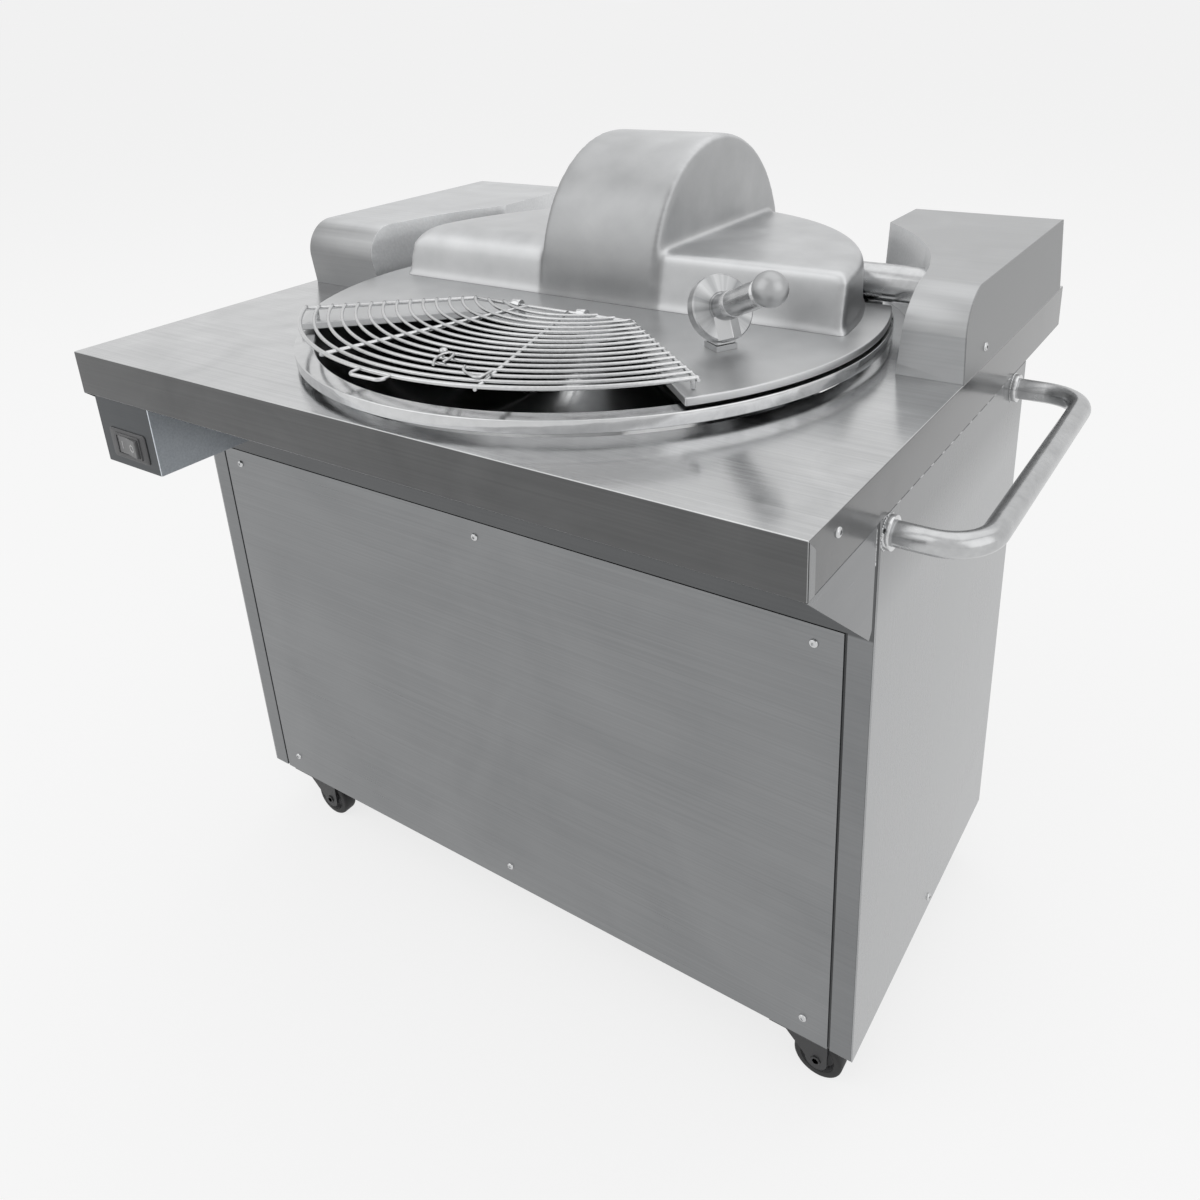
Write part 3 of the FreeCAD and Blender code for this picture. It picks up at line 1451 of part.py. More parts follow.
def castors():
    mounts = []
    for side, x in (("left", LEFT + s.castor_inset_x), ("right", RIGHT - s.castor_inset_x)):
        for end, y in (("front", CABINET_FRONT + s.castor_inset_y),
                       ("rear", CABINET_BACK - s.castor_inset_y)):
            mounts.append(castor(f"{end}_{side}", x, y))
    return node("castor_plates", fuse("castor_mounts", *mounts))


def build():
    cabinet_frame()
    cabinet_skins()
    front_panel()
    front_panel_screws()
    worktop()
    gusset("left", LEFT)
    gusset("right", RIGHT - s.worktop_sheet)
    bowl()
    bowl_shaft()
    bowl_nut()
    bowl_bearing_housing()
    bowl_bridge()
    bowl_gearmotor()
    for number, turn in ((1, 0), (2, 120), (3, 240)):
        knife(number, turn)
    knife_spacers()
    knife_nut()
    knife_shaft()
    spindle_housing()
    spindle_pedestal()
    pulley("knife_pulley", PULLEY_X, KNIFE_Z, s.knife_shaft_radius)
    pulley("motor_pulley", PULLEY_X, MOTOR_Z, s.motor_shaft_radius)
    drive_belt()
    knife_motor()
    rear_covers()
    side_screws()
    lid_plate()
    knife_hood()
    lid_hinge()
    guard()
    guard_lugs()
    lever()
    push_handle()
    control_box()
    switch()
    castors()


def check():
    faults = [thing.Name for thing in doc.Objects
              if "Invalid" in thing.State or "Error" in thing.State]
    for name, piece in NODES:
        shape = piece.Shape
        if shape.isNull() or not shape.isValid() or not shape.Solids:
            faults.append(name)
    if faults:
        raise RuntimeError("failed: " + ", ".join(faults))


def write():
    os.makedirs("parts", exist_ok=True)
    for name, piece in NODES:
        piece.Shape.exportStep(f"parts/{name}.step")


build()
doc.recompute()
check()
write()
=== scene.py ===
"""Looks of the meat and vegetable cutter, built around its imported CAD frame.

Metres. X to the operator's right, Y to the back, Z up, origin on the floor.
"""

import math
import random

import bmesh
import bpy
from mathutils import Matrix, Vector


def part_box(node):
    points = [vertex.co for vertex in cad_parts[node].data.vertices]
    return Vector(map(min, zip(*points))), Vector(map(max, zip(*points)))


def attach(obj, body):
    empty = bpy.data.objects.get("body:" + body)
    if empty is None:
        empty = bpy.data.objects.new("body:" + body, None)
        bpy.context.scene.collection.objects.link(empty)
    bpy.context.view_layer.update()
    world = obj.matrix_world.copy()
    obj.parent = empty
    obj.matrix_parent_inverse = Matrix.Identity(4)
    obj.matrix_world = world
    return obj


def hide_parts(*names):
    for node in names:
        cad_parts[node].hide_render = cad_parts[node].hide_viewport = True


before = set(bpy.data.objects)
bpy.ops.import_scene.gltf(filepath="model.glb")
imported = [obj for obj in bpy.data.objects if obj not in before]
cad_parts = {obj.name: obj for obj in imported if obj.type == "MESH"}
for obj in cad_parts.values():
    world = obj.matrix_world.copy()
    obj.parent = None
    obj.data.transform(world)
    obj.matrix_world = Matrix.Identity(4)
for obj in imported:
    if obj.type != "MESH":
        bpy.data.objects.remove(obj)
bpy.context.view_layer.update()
MM = 0.001
QUARTER = math.pi / 2


def low(node):
    """The lower corner of a CAD node's box."""
    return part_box(node)[0]


def high(node):
    """The upper corner of a CAD node's box."""
    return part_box(node)[1]


def middle(node):
    """The middle of a CAD node's box."""
    return (low(node) + high(node)) / 2


# Places read from the frame
BOWL = middle("bowl")
BOWL_X, BOWL_Y = BOWL.x, BOWL.y
LID_TOP = high("lid_plate").z
LEFT, FRONT = low("worktop").xy
RIGHT, BACK = high("worktop").xy
PANEL_TOP = high("front_panel").z
PANEL_FRONT = low("front_panel").y
BOX_RIGHT = high("control_box").x
SIDE_TOP = high("side_panel_right").z
SPINDLE = middle("spindle_housing")
LEVER_FOOT = middle("lever_foot")
LEVER_BALL = middle("lever_ball")

# Sizes that the frame's boxes don't give
HOOD_HALF_WIDTH = 87 * MM
HOOD_WALL = 4 * MM
HOOD_SUNK = 30 * MM  # how far the hood's rough solids reach into the lid before they are cut
WING_HEIGHT = 66 * MM
WING_RADIUS = 326 * MM
WING_LEAN = 15 * MM
GUARD_WIRES = 16
GUARD_RADIUS = 352 * MM
GUARD_SPACING = 15.8 * MM
GUARD_PIVOT = 92 * MM  # from the bowl's axis to the wire that the guard turns on
GUARD_HALF_ANGLE = math.radians(51.5)
GUARD_RAYS = (-1, -0.37, 0.33, 1)  # shares of the half angle
LEVER_RISE = math.radians(24)
CASTOR_TRAIL = 22 * MM


def turns(start, end, steps):
    """Evenly spaced angles, both ends included."""
    return [start + (end - start) * k / steps for k in range(steps + 1)]


def around(count):
    """Evenly spaced angles of a full circle."""
    return [math.tau * k / count for k in range(count)]


# Camera and light

def look():
    """The photograph's camera, from its place, its axes and its focal length in pixels."""
    place = (0.7345, -1.0453, 1.2185)
    focal, side = 1038.9, 1200.0
    centre_x, centre_y = 638.0, 417.5
    right = Vector((0.8352, 0.5485, -0.0384))
    up = Vector((-0.1760, 0.3329, 0.9263))
    forward = Vector((-0.5209, 0.7670, -0.3746))
    data = bpy.data.cameras.new("photo_camera")
    data.sensor_width = 36.0
    data.lens = focal / side * data.sensor_width
    data.shift_x = (side / 2 - centre_x) / side
    data.shift_y = (centre_y - side / 2) / side
    data.clip_end = 1000
    camera = bpy.data.objects.new("photo_camera", data)
    axes = Matrix((right, up, -forward)).transposed()
    camera.matrix_world = Matrix.Translation(place) @ axes.to_4x4()
    bpy.context.scene.collection.objects.link(camera)
    bpy.context.scene.camera = camera


def lamp(name, place, target, width, height, power):
    """A large soft lamp that faces its target."""
    data = bpy.data.lights.new(name, "AREA")
    data.shape = "RECTANGLE"
    data.size, data.size_y = width, height
    data.energy = power
    light = bpy.data.objects.new(name, data)
    light.location = place
    light.rotation_mode = "QUATERNION"
    light.rotation_quaternion = (Vector(target) - Vector(place)).to_track_quat("-Z", "Y")
    bpy.context.scene.collection.objects.link(light)


def math_node(tree, operation, *values):
    """The result of a Math node that is fed with sockets or numbers."""
    node = tree.nodes.new("ShaderNodeMath")
    node.operation = operation
    for socket, value in zip(node.inputs, values):
        if isinstance(value, (int, float)):
            socket.default_value = value
        else:
            tree.links.new(value, socket)
    return node.outputs[0]


def seen_rays(tree):
    """1 for camera, glossy and transmission rays, and 0 for the rest."""
    path = tree.nodes.new("ShaderNodeLightPath")
    total = path.outputs["Is Camera Ray"]
    for kind in ("Is Glossy Ray", "Is Transmission Ray"):
        total = math_node(tree, "MAXIMUM", total, path.outputs[kind])
    return total


def studio():
    """Soft light and a plain floor, both shown paler than they light the machine."""
    pale, level, albedo = 0.88, 0.42, 0.24
    world = bpy.data.worlds.new("studio")
    bpy.context.scene.world = world
    world.use_nodes = True
    tree = world.node_tree
    fill = tree.nodes["Background"]
    fill.inputs["Color"].default_value = (level, level, level, 1)
    shown = tree.nodes.new("ShaderNodeBackground")
    shown.inputs["Color"].default_value = (pale, pale, pale, 1)
    mix = tree.nodes.new("ShaderNodeMixShader")
    tree.links.new(seen_rays(tree), mix.inputs[0])
    tree.links.new(fill.outputs[0], mix.inputs[1])
    tree.links.new(shown.outputs[0], mix.inputs[2])
    tree.links.new(mix.outputs[0], tree.nodes["World Output"].inputs["Surface"])

    material = bpy.data.materials.new("floor")
    material.use_nodes = True
    tree = material.node_tree
    paint = tree.nodes["Principled BSDF"]
    paint.inputs["Base Color"].default_value = (albedo, albedo, albedo, 1)
    paint.inputs["Roughness"].default_value = 1.0
    paint.inputs["Specular IOR Level"].default_value = 0.0
    glow = tree.nodes.new("ShaderNodeEmission")
    shade = pale - albedo * level
    glow.inputs["Color"].default_value = (shade, shade, shade, 1)
    tree.links.new(seen_rays(tree), glow.inputs["Strength"])
    both = tree.nodes.new("ShaderNodeAddShader")
    tree.links.new(paint.outputs[0], both.inputs[0])
    tree.links.new(glow.outputs[0], both.inputs[1])
    tree.links.new(both.outputs[0], tree.nodes["Material Output"].inputs["Surface"])
    mesh = bpy.data.meshes.new("floor")
    reach = 400.0
    corners = [(-reach, -reach, 0), (reach, -reach, 0), (reach, reach, 0), (-reach, reach, 0)]
    mesh.from_pydata(corners, [], [(0, 1, 2, 3)])
    mesh.materials.append(material)
    floor = bpy.data.objects.new("floor", mesh)
    bpy.context.scene.collection.objects.link(floor)

    lamp("key", (-2.9, -3.7, 4.1), (0, 0, 0.6), 6.0, 6.0, 64)
    lamp("right", (4.6, -0.8, 3.0), (0, 0, 0.6), 4.5, 4.5, 38)
    lamp("above", (0.2, 1.4, 5.0), (0, 0, 0.8), 6.0, 5.0, 44)
    bpy.context.scene.view_settings.view_transform = "Standard"


# Materials

def ranged(tree, value, source, target):
    """Map a value from one range to another."""
    node = tree.nodes.new("ShaderNodeMapRange")
    for name, number in zip(("From Min", "From Max", "To Min", "To Max"), (*source, *target)):
        node.inputs[name].default_value = number
    tree.links.new(value, node.inputs["Value"])
    return node.outputs[0]


class Surface:
    """A material, with short calls for the nodes that the finishes share."""

    def __init__(self, name):
        self.material = bpy.data.materials.new(name)
        self.material.use_nodes = True
        self.tree = self.material.node_tree
        self.shader = self.tree.nodes["Principled BSDF"]
        self.place = self.tree.nodes.new("ShaderNodeTexCoord").outputs["Object"]

    def set(self, **values):
        for name, value in values.items():
            self.shader.inputs[name.replace("_", " ")].default_value = value
        return self

    def to(self, name, output):
        self.tree.links.new(output, self.shader.inputs[name])

    def noise(self, scale, detail, distortion=0.0, offset=0.0):
        mapping = self.tree.nodes.new("ShaderNodeMapping")
        mapping.inputs["Scale"].default_value = scale
        mapping.inputs["Location"].default_value = (offset, offset * 2, -offset)
        self.tree.links.new(self.place, mapping.inputs["Vector"])
        noise = self.tree.nodes.new("ShaderNodeTexNoise")
        noise.inputs["Scale"].default_value = 1.0
        noise.inputs["Detail"].default_value = detail
        noise.inputs["Distortion"].default_value = distortion
        self.tree.links.new(mapping.outputs[0], noise.inputs["Vector"])
        return noise.outputs["Fac"]

    def spread(self, value, start, end):
        """Stretch the middle of a noise's range from start to end."""
        return ranged(self.tree, value, (0.3, 0.7), (start, end))

    def calc(self, operation, *values):
        return math_node(self.tree, operation, *values)

    def blend(self, factor, first, second):
        node = self.tree.nodes.new("ShaderNodeMix")
        node.data_type = "RGBA"
        self.tree.links.new(factor, node.inputs[0])
        node.inputs[6].default_value = (*first, 1)
        node.inputs[7].default_value = (*second, 1)
        return node.outputs[2]

    def bump(self, height, distance):
        node = self.tree.nodes.new("ShaderNodeBump")
        node.inputs["Distance"].default_value = distance
        self.tree.links.new(height, node.inputs["Height"])
        self.to("Normal", node.outputs[0])


def grey(level):
    """A steel grey, a little cooler than neutral."""
    return level, level + 0.005, level + 0.01


def metal(name, tones, roughness, grain, depth, cloud=7.0):
    """Bare metal: fine grain along one way, and cloudy patches from cleaning and handling.

    Tones are the darkest and the lightest grey, and roughness goes with them from low to high.
    """
    dark, light = tones
    lines_share = 0.45
    surface = Surface(name).set(Metallic=1.0)
    lines = surface.noise(grain, detail=4)
    clouds = surface.noise((cloud, cloud, cloud), detail=5, distortion=1.4, offset=3.0)
    mixed = surface.calc("ADD", surface.calc("MULTIPLY", lines, lines_share),
                         surface.calc("MULTIPLY", clouds, 1 - lines_share))
    surface.to("Base Color", surface.blend(surface.spread(mixed, 0, 1), grey(dark), grey(light)))
    surface.to("Roughness", surface.spread(mixed, *roughness))
    surface.bump(lines, depth)
    return surface.material


def plain(name, dark, light, roughness, metallic=0.0):
    """Paint, plastic, rubber or dull iron with a fine skin texture and faint patches."""
    grain, depth, vary = 900.0, 0.05 * MM, 0.06
    surface = Surface(name).set(Metallic=metallic)
    skin = surface.noise((grain, grain, grain), detail=2)
    patches = surface.noise((14, 14, 14), detail=4, offset=1.0)
    surface.to("Base Color", surface.blend(surface.spread(patches, 0, 1), dark, light))
    surface.to("Roughness", surface.spread(patches, roughness - vary, roughness + vary))
    surface.bump(skin, depth)
    return surface.material


def turned_metal_painted_sheen(name, tones, roughness):
    """Metal faced on a lathe: streaks about the piece's own Z axis, whose light and dark fans in
    the colour are a painted highlight of the turned face's sheen.
    """
    dark, light = tones
    surface = Surface(name).set(Metallic=1.0)
    gradient = surface.tree.nodes.new("ShaderNodeTexGradient")
    gradient.gradient_type = "RADIAL"
    surface.tree.links.new(surface.place, gradient.inputs["Vector"])
    sheen_streaks = surface.tree.nodes.new("ShaderNodeTexNoise")
    sheen_streaks.noise_dimensions = "1D"
    sheen_streaks.inputs["Scale"].default_value = 9.0
    sheen_streaks.inputs["Detail"].default_value = 4.0
    surface.tree.links.new(gradient.outputs["Fac"], sheen_streaks.inputs["W"])
    value = sheen_streaks.outputs["Fac"]
    surface.to("Base Color", surface.blend(surface.spread(value, 0, 1), grey(dark), grey(light)))
    surface.to("Roughness", surface.spread(value, *roughness))
    surface.bump(surface.noise((300, 300, 300), detail=2), 0.03 * MM)
    return surface.material


def paint_shading(material, measure, start, end, share):
    """Painted light and shade: scale a metal's colour by share where a measure passes from start
    to end.
    """
    tree = material.node_tree
    socket = tree.nodes["Principled BSDF"].inputs["Base Color"]
    factor = ranged(tree, measure, (start, end), (1.0, share))
    scale = tree.nodes.new("ShaderNodeVectorMath")
    scale.operation = "SCALE"
    tree.links.new(socket.links[0].from_socket, scale.inputs[0])
    tree.links.new(factor, scale.inputs["Scale"])
    tree.links.new(scale.outputs[0], socket)


def paint_shading_past(material, axis, start, end, share):
    """Painted light and shade on the part of a piece where its own coordinate passes from start to
    end.
    """
    tree = material.node_tree
    split = tree.nodes.new("ShaderNodeSeparateXYZ")
    tree.links.new(tree.nodes.new("ShaderNodeTexCoord").outputs["Object"], split.inputs[0])
    paint_shading(material, split.outputs[axis], start, end, share)


def facing(tree, way):
    """1 where the surface faces a way along its piece's own axes, and 0 or less aside of it."""
    along = tree.nodes.new("ShaderNodeVectorMath")
    along.operation = "DOT_PRODUCT"
    tree.links.new(tree.nodes.new("ShaderNodeTexCoord").outputs["Normal"], along.inputs[0])
    along.inputs[1].default_value = way
    return along.outputs["Value"]


def paint_shading_facing(material, way, share):
    """Painted light and shade on the walls of a piece that face a way along its own axes."""
    paint_shading(material, facing(material.node_tree, way), 0.3, 0.6, share)


def paint_shading_hump(material, share):
    """Painted shade on the front of the hood's hump, and neither on its sides nor on the wings."""
    tree = material.node_tree
    blend = 8 * MM
    split = tree.nodes.new("ShaderNodeSeparateXYZ")
    tree.links.new(tree.nodes.new("ShaderNodeTexCoord").outputs["Object"], split.inputs[0])
    aside = math_node(tree, "ABSOLUTE", math_node(tree, "SUBTRACT", split.outputs["X"], BOWL_X))
    within = ranged(tree, aside, (HOOD_HALF_WIDTH, HOOD_HALF_WIDTH + blend), (1.0, 0.0))
    front = math_node(tree, "MULTIPLY", facing(tree, (0, -1, 0)), within)
    paint_shading(material, front, 0.1, 0.7, share)


# How fine the grain is along X, Y and Z, for sheets brushed along one of them
ALONG_X, ALONG_Y, ALONG_Z = (3, 420, 420), (420, 3, 420), (420, 420, 3)
COARSE_ALONG_X = (3, 300, 300)

# The walls of one sheet reflect different parts of the room, so the sheet materials are lit and
# shaded copies of one steel, and some walls get painted light and shade of their own
SHEET_ACROSS = metal("sheet_across", (0.20, 0.26), (0.20, 0.30), ALONG_Y, 0.01 * MM)
SHEET_TOP = metal("sheet_top", (0.50, 0.68), (0.13, 0.24), ALONG_X, 0.02 * MM, cloud=9.0)
# Painted shade on the worktop's aprons, each darker than its top face
for axis, edge, inward, share in (("Y", FRONT, 1, 0.20), ("Y", BACK, -1, 0.26),
                                  ("X", RIGHT, -1, 0.29), ("X", LEFT, 1, 0.29)):
    paint_shading_past(SHEET_TOP, axis, edge + inward * 0.5 * MM, edge + inward * 0.1 * MM, share)
SHEET_FRONT = metal("sheet_front", (0.22, 0.29), (0.26, 0.38), ALONG_X, 0.02 * MM, cloud=4.0)
SHEET_FRAME = metal("sheet_frame", (0.20, 0.25), (0.26, 0.38), ALONG_X, 0.02 * MM, cloud=4.0)
# Painted shade on the frame above the front panel, under the apron, and on the frame seen behind
# the panel's front, in its gap
paint_shading_past(SHEET_FRAME, "Z", PANEL_TOP - 1 * MM, PANEL_TOP + 1 * MM, 0.55)
paint_shading_past(SHEET_FRAME, "Y", PANEL_FRONT + 0.6 * MM, PANEL_FRONT + 1 * MM, 0.3)
# The control box's sheet: dark as painted shade, and its right wall nine times lighter as painted
# light
SHEET_BOX = metal("sheet_box", (0.07, 0.10), (0.28, 0.40), ALONG_X, 0.02 * MM, cloud=4.0)
paint_shading_past(SHEET_BOX, "X", BOX_RIGHT - 1 * MM, BOX_RIGHT - 0.6 * MM, 9.0)
SHEET_UPRIGHT = metal("sheet_upright", (0.34, 0.43), (0.20, 0.32), ALONG_Z, 0.02 * MM, cloud=5.0)
# Painted shade on the upper side panels, darker towards the worktop above them
paint_shading_past(SHEET_UPRIGHT, "Z", SIDE_TOP - 110 * MM, SIDE_TOP - 40 * MM, 0.70)
COVER, BELT_COVER = [
    metal(name, (0.40, 0.51), (0.34, 0.46), COARSE_ALONG_X, 0.01 * MM, cloud=8.0)
    for name in ("cover_sheet", "belt_cover_sheet")]
# Painted light on the left cover's walls facing right and up, and painted shade on its front
paint_shading_facing(COVER, (1, 0, 0), 1.5)
paint_shading_facing(COVER, (0, 0, 1), 1.35)
paint_shading_facing(COVER, (0, -1, 0), 0.60)
# Painted shade on the belt cover's right wall, and painted light on its walls that face left
paint_shading_past(BELT_COVER, "X", RIGHT - 1.8 * MM, RIGHT - 1 * MM, 0.62)
paint_shading_facing(BELT_COVER, (-1, 0, 0), 1.35)
CAST, HOOD = [metal(name, (0.37, 0.49), (0.32, 0.45), (24, 24, 24), 0.01 * MM)
              for name in ("cast_alloy", "hood_alloy")]
# Painted shade on the hump's front, and painted light on the hood's faces turned upwards
paint_shading_hump(HOOD, 0.70)
paint_shading_facing(HOOD, (0, 0, 1), 1.32)
# A lighter copy of the cast alloy for the lid plate and the lever's post: its extra lightness is
# painted light
LID = metal("lid_alloy", (0.52, 0.62), (0.32, 0.42), (24, 24, 24), 0.004 * MM, cloud=4.0)
HANDLE = metal("handle_steel", (0.44, 0.58), (0.18, 0.30), (120, 120, 120), 0.005 * MM,
               cloud=18.0)
POLISHED = metal("polished_steel", (0.55, 0.68), (0.09, 0.19), (90, 90, 90), 0.02 * MM,
                 cloud=16.0)
WIRE = metal("wire", (0.50, 0.68), (0.16, 0.28), (300, 300, 300), 0.02 * MM)
TURNED = turned_metal_painted_sheen("turned_alloy", (0.24, 0.58), (0.30, 0.44))
IRON = plain("grey_iron", (0.16, 0.16, 0.165), (0.24, 0.24, 0.25), 0.50, metallic=1.0)
MOTOR_PAINT = plain("motor_paint", (0.12, 0.14, 0.16), (0.16, 0.18, 0.20), 0.42)
BLACK_STEEL = plain("black_steel", (0.030, 0.030, 0.032), (0.050, 0.050, 0.052), 0.40)
TYRE = plain("tyre", (0.020, 0.020, 0.021), (0.040, 0.040, 0.041), 0.62)
HUB = plain("wheel_hub", (0.10, 0.10, 0.105), (0.15, 0.15, 0.155), 0.48)
BELT = plain("belt_rubber", (0.018, 0.018, 0.018), (0.035, 0.035, 0.035), 0.72)
SWITCH_FRAME = plain("switch_frame", (0.13, 0.13, 0.135), (0.17, 0.17, 0.175), 0.45)
ROCKER = plain("rocker", (0.22, 0.22, 0.225), (0.27, 0.27, 0.275), 0.38)
MARK = plain("switch_mark", (0.78, 0.78, 0.78), (0.85, 0.85, 0.85), 0.5)


# Making of meshes

def piece(name, bm, body, material, stands_for=(), crease=35, place=None):
    """Turn a bmesh into a dressed piece."""
    bmesh.ops.recalc_face_normals(bm, faces=bm.faces)
    mesh = bpy.data.meshes.new(name)
    bm.to_mesh(mesh)
    bm.free()
    return dress(name, mesh, body, material, stands_for, crease, place)


def dress(name, mesh, body, material, stands_for=(), crease=35, place=None):
    """Give a mesh its finish, and let it ride on a CAD body."""
    mesh.materials.clear()
    mesh.materials.append(material)
    mesh.shade_smooth()
    mesh.set_sharp_from_angle(angle=math.radians(crease))
    obj = bpy.data.objects.new(name, mesh)
    if place is not None:
        obj.matrix_world = place
    bpy.context.scene.collection.objects.link(obj)
    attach(obj, body)
    if stands_for:
        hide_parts(*stands_for)
    return obj


def baked(obj):
    """The mesh of an object with its modifiers, after which the object is deleted."""
    graph = bpy.context.evaluated_depsgraph_get()
    mesh = bpy.data.meshes.new_from_object(obj.evaluated_get(graph))
    bpy.data.objects.remove(obj)
    return mesh


def cut_off(bm, point, normal):
    """Delete what lies past a plane."""
    bmesh.ops.bisect_plane(bm, geom=bm.verts[:] + bm.edges[:] + bm.faces[:], plane_co=point,
                           plane_no=normal, clear_outer=True)


def scratch(name, bm):
    """An object that only lends its shape to modifiers."""
    bmesh.ops.recalc_face_normals(bm, faces=bm.faces)
    mesh = bpy.data.meshes.new(name)
    bm.to_mesh(mesh)
    bm.free()
    obj = bpy.data.objects.new(name, mesh)
    bpy.context.scene.collection.objects.link(obj)
    return obj


def ring_frame(points, index, previous):
    """Direction and side vector of a tube at one of its points, without twist."""
    before = points[max(index - 1, 0)]
    after = points[min(index + 1, len(points) - 1)]
    ahead = (after - before).normalized()
    side = previous - ahead * previous.dot(ahead)
    return ahead, side.normalized()


CAP_REACH, CAP_SHARE = 0.55, 0.75  # a tube's rounded end: its reach and its size, in radii


def sweep(bm, points, radius, sides=10):
    """A round tube along points, with rounded ends."""
    points = [Vector(point) for point in points]
    side = (points[1] - points[0]).normalized().orthogonal()
    rings = []
    for index, point in enumerate(points):
        ahead, side = ring_frame(points, index, side)
        other = ahead.cross(side)
        steps = [(0.0, 1.0)]
        if index == 0:
            steps = [(-CAP_REACH, CAP_SHARE), (0.0, 1.0)]
        elif index == len(points) - 1:
            steps = [(0.0, 1.0), (CAP_REACH, CAP_SHARE)]
        for shift, share in steps:
            centre = point + ahead * radius * shift
            size = radius * share
            rings.append([bm.verts.new(centre + (side * math.cos(a) + other * math.sin(a)) * size)
                          for a in around(sides)])
    skin(bm, rings)
    bm.faces.new(rings[0][::-1])
    bm.faces.new(rings[-1])


def skin(bm, rings):
    """Join rings of equally many vertices with quads."""
    count = len(rings[0])
    for one, two in zip(rings, rings[1:]):
        for k in range(count):
            bm.faces.new((one[k], one[(k + 1) % count], two[(k + 1) % count], two[k]))


def arc(centre, radius, start, end, steps, z):
    """Points on a level circle. Angles in radians from the front, towards the right."""
    return [Vector((centre[0] + radius * math.sin(a), centre[1] - radius * math.cos(a), z))
            for a in turns(start, end, steps)]


def lathe(bm, profile, place=Matrix(), segments=64):
    """Revolve (radius, height) points about the Z axis of place. A radius of 0 is a pole."""
    rings = []
    for radius, height in profile:
        if radius == 0:
            rings.append([bm.verts.new(place @ Vector((0, 0, height)))])
            continue
        rings.append([
            bm.verts.new(place @ Vector((radius * math.cos(a), radius * math.sin(a), height)))
            for a in around(segments)])
    for one, two in zip(rings, rings[1:]):
        for k in range(segments):
            corners = [one[k % len(one)], one[(k + 1) % len(one)],
                       two[(k + 1) % len(two)], two[k % len(two)]]
            distinct = list(dict.fromkeys(corners))
            if len(distinct) > 2:
                bm.faces.new(distinct)


def in_mm(profile):
    """A profile given in millimetres, in metres."""
    return [(a * MM, b * MM) for a, b in profile]


def prism(bm, outline, direction, place=Matrix()):
    """Extrude a closed outline of 3D points along a direction."""
    start = [bm.verts.new(place @ Vector(point)) for point in outline]
    end = [bm.verts.new(place @ (Vector(point) + Vector(direction))) for point in outline]
    skin(bm, [start, end])
    bm.faces.new(start[::-1])
    bm.faces.new(end)


def rounded(x_half, y_half, radius, steps=6):
    """Outline of a rectangle with round corners, about the origin."""
    points = []
    for corner, (sx, sy) in enumerate(((1, 1), (-1, 1), (-1, -1), (1, -1))):
        for k in range(steps + 1):
            turn = QUARTER * (corner + k / steps)
            points.append((sx * (x_half - radius) + radius * math.cos(turn),
                           sy * (y_half - radius) + radius * math.sin(turn)))
    return points


def soften(obj, width, segments=2):
    """Round the edges of a piece."""
    modifier = obj.modifiers.new("bevel", "BEVEL")
    modifier.width = width
    modifier.segments = segments
    modifier.limit_method = "ANGLE"
    modifier.angle_limit = math.radians(35)
    modifier.harden_normals = True
    return obj


def carry(nodes, material, width, segments=2):
    """Give CAD nodes a finish, and round their edges."""
    for name in nodes:
        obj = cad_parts[name]
        obj.data.materials.clear()
        obj.data.materials.append(material)
        weld = obj.modifiers.new("weld", "WELD")
        weld.merge_threshold = 0.002 * MM
        soften(obj, width, segments)


def islands(node):
    """Box of each separate lump of a CAD node's mesh."""
    bm = bmesh.new()
    bm.from_mesh(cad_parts[node].data)
    bmesh.ops.remove_doubles(bm, verts=bm.verts, dist=0.001 * MM)
    left = set(bm.verts)
    boxes = []
    while left:
        found, queue = set(), [left.pop()]
        while queue:
            vert = queue.pop()
            found.add(vert)
            for edge in vert.link_edges:
                other = edge.other_vert(vert)
                if other in left:
                    left.discard(other)
                    queue.append(other)
        boxes.append((Vector(min(v.co[i] for v in found) for i in range(3)),
                      Vector(max(v.co[i] for v in found) for i in range(3))))
    bm.free()
    return sorted(boxes, key=lambda box: tuple(box[0]))


# Hood

def hood_profile(radius, centre_z, bottom):
    """Side view of the hump: a half circle on straight legs."""
    crown = [(radius * math.cos(a), centre_z + radius * math.sin(a))
             for a in turns(0, math.pi, 48)]
    return [(radius, bottom), *crown, (-radius, bottom)]


def wing(name, side, corner, edge):
    """One side of the low dome: a turned disc, cut by a leaning front with a round top edge.

    Corner is the radius of the disc's top edge, and edge that of the front's.
    """
    bottom = LID_TOP - HOOD_SUNK
    top = LID_TOP + WING_HEIGHT
    margin = 20 * MM
    body = bmesh.new()
    rim = [(WING_RADIUS - corner + corner * math.cos(a), top - corner + corner * math.sin(a))
           for a in turns(0, QUARTER, 8)]
    lathe(body, [(0, bottom), (WING_RADIUS, bottom), *rim, (0, top)],
          Matrix.Translation((BOWL_X, BOWL_Y, 0)), 128)
    disc = scratch(name, body)
    front = low("knife_hood").y + 0.4 * MM
    back = BOWL_Y + WING_RADIUS + margin
    slope = WING_LEAN / WING_HEIGHT
    tilt = math.atan(slope)
    centre_y = front + (WING_HEIGHT - edge) * slope + edge / math.cos(tilt)
    outline = [(0, front + (bottom - LID_TOP) * slope, bottom)]
    outline += [(0, centre_y - edge * math.cos(a), top - edge + edge * math.sin(a))
                for a in turns(tilt, QUARTER, 8)]
    outline += [(0, back, top + 1 * MM), (0, back, bottom)]
    keeper = bmesh.new()
    prism(keeper, outline, ((WING_RADIUS + margin) * side, 0, 0),
          Matrix.Translation((BOWL_X, 0, 0)))
    tool = scratch(name + "_front", keeper)
    cut = disc.modifiers.new("front", "BOOLEAN")
    cut.operation = "INTERSECT"
    cut.object = tool
    mesh = baked(disc)
    bpy.data.objects.remove(tool)
    return mesh


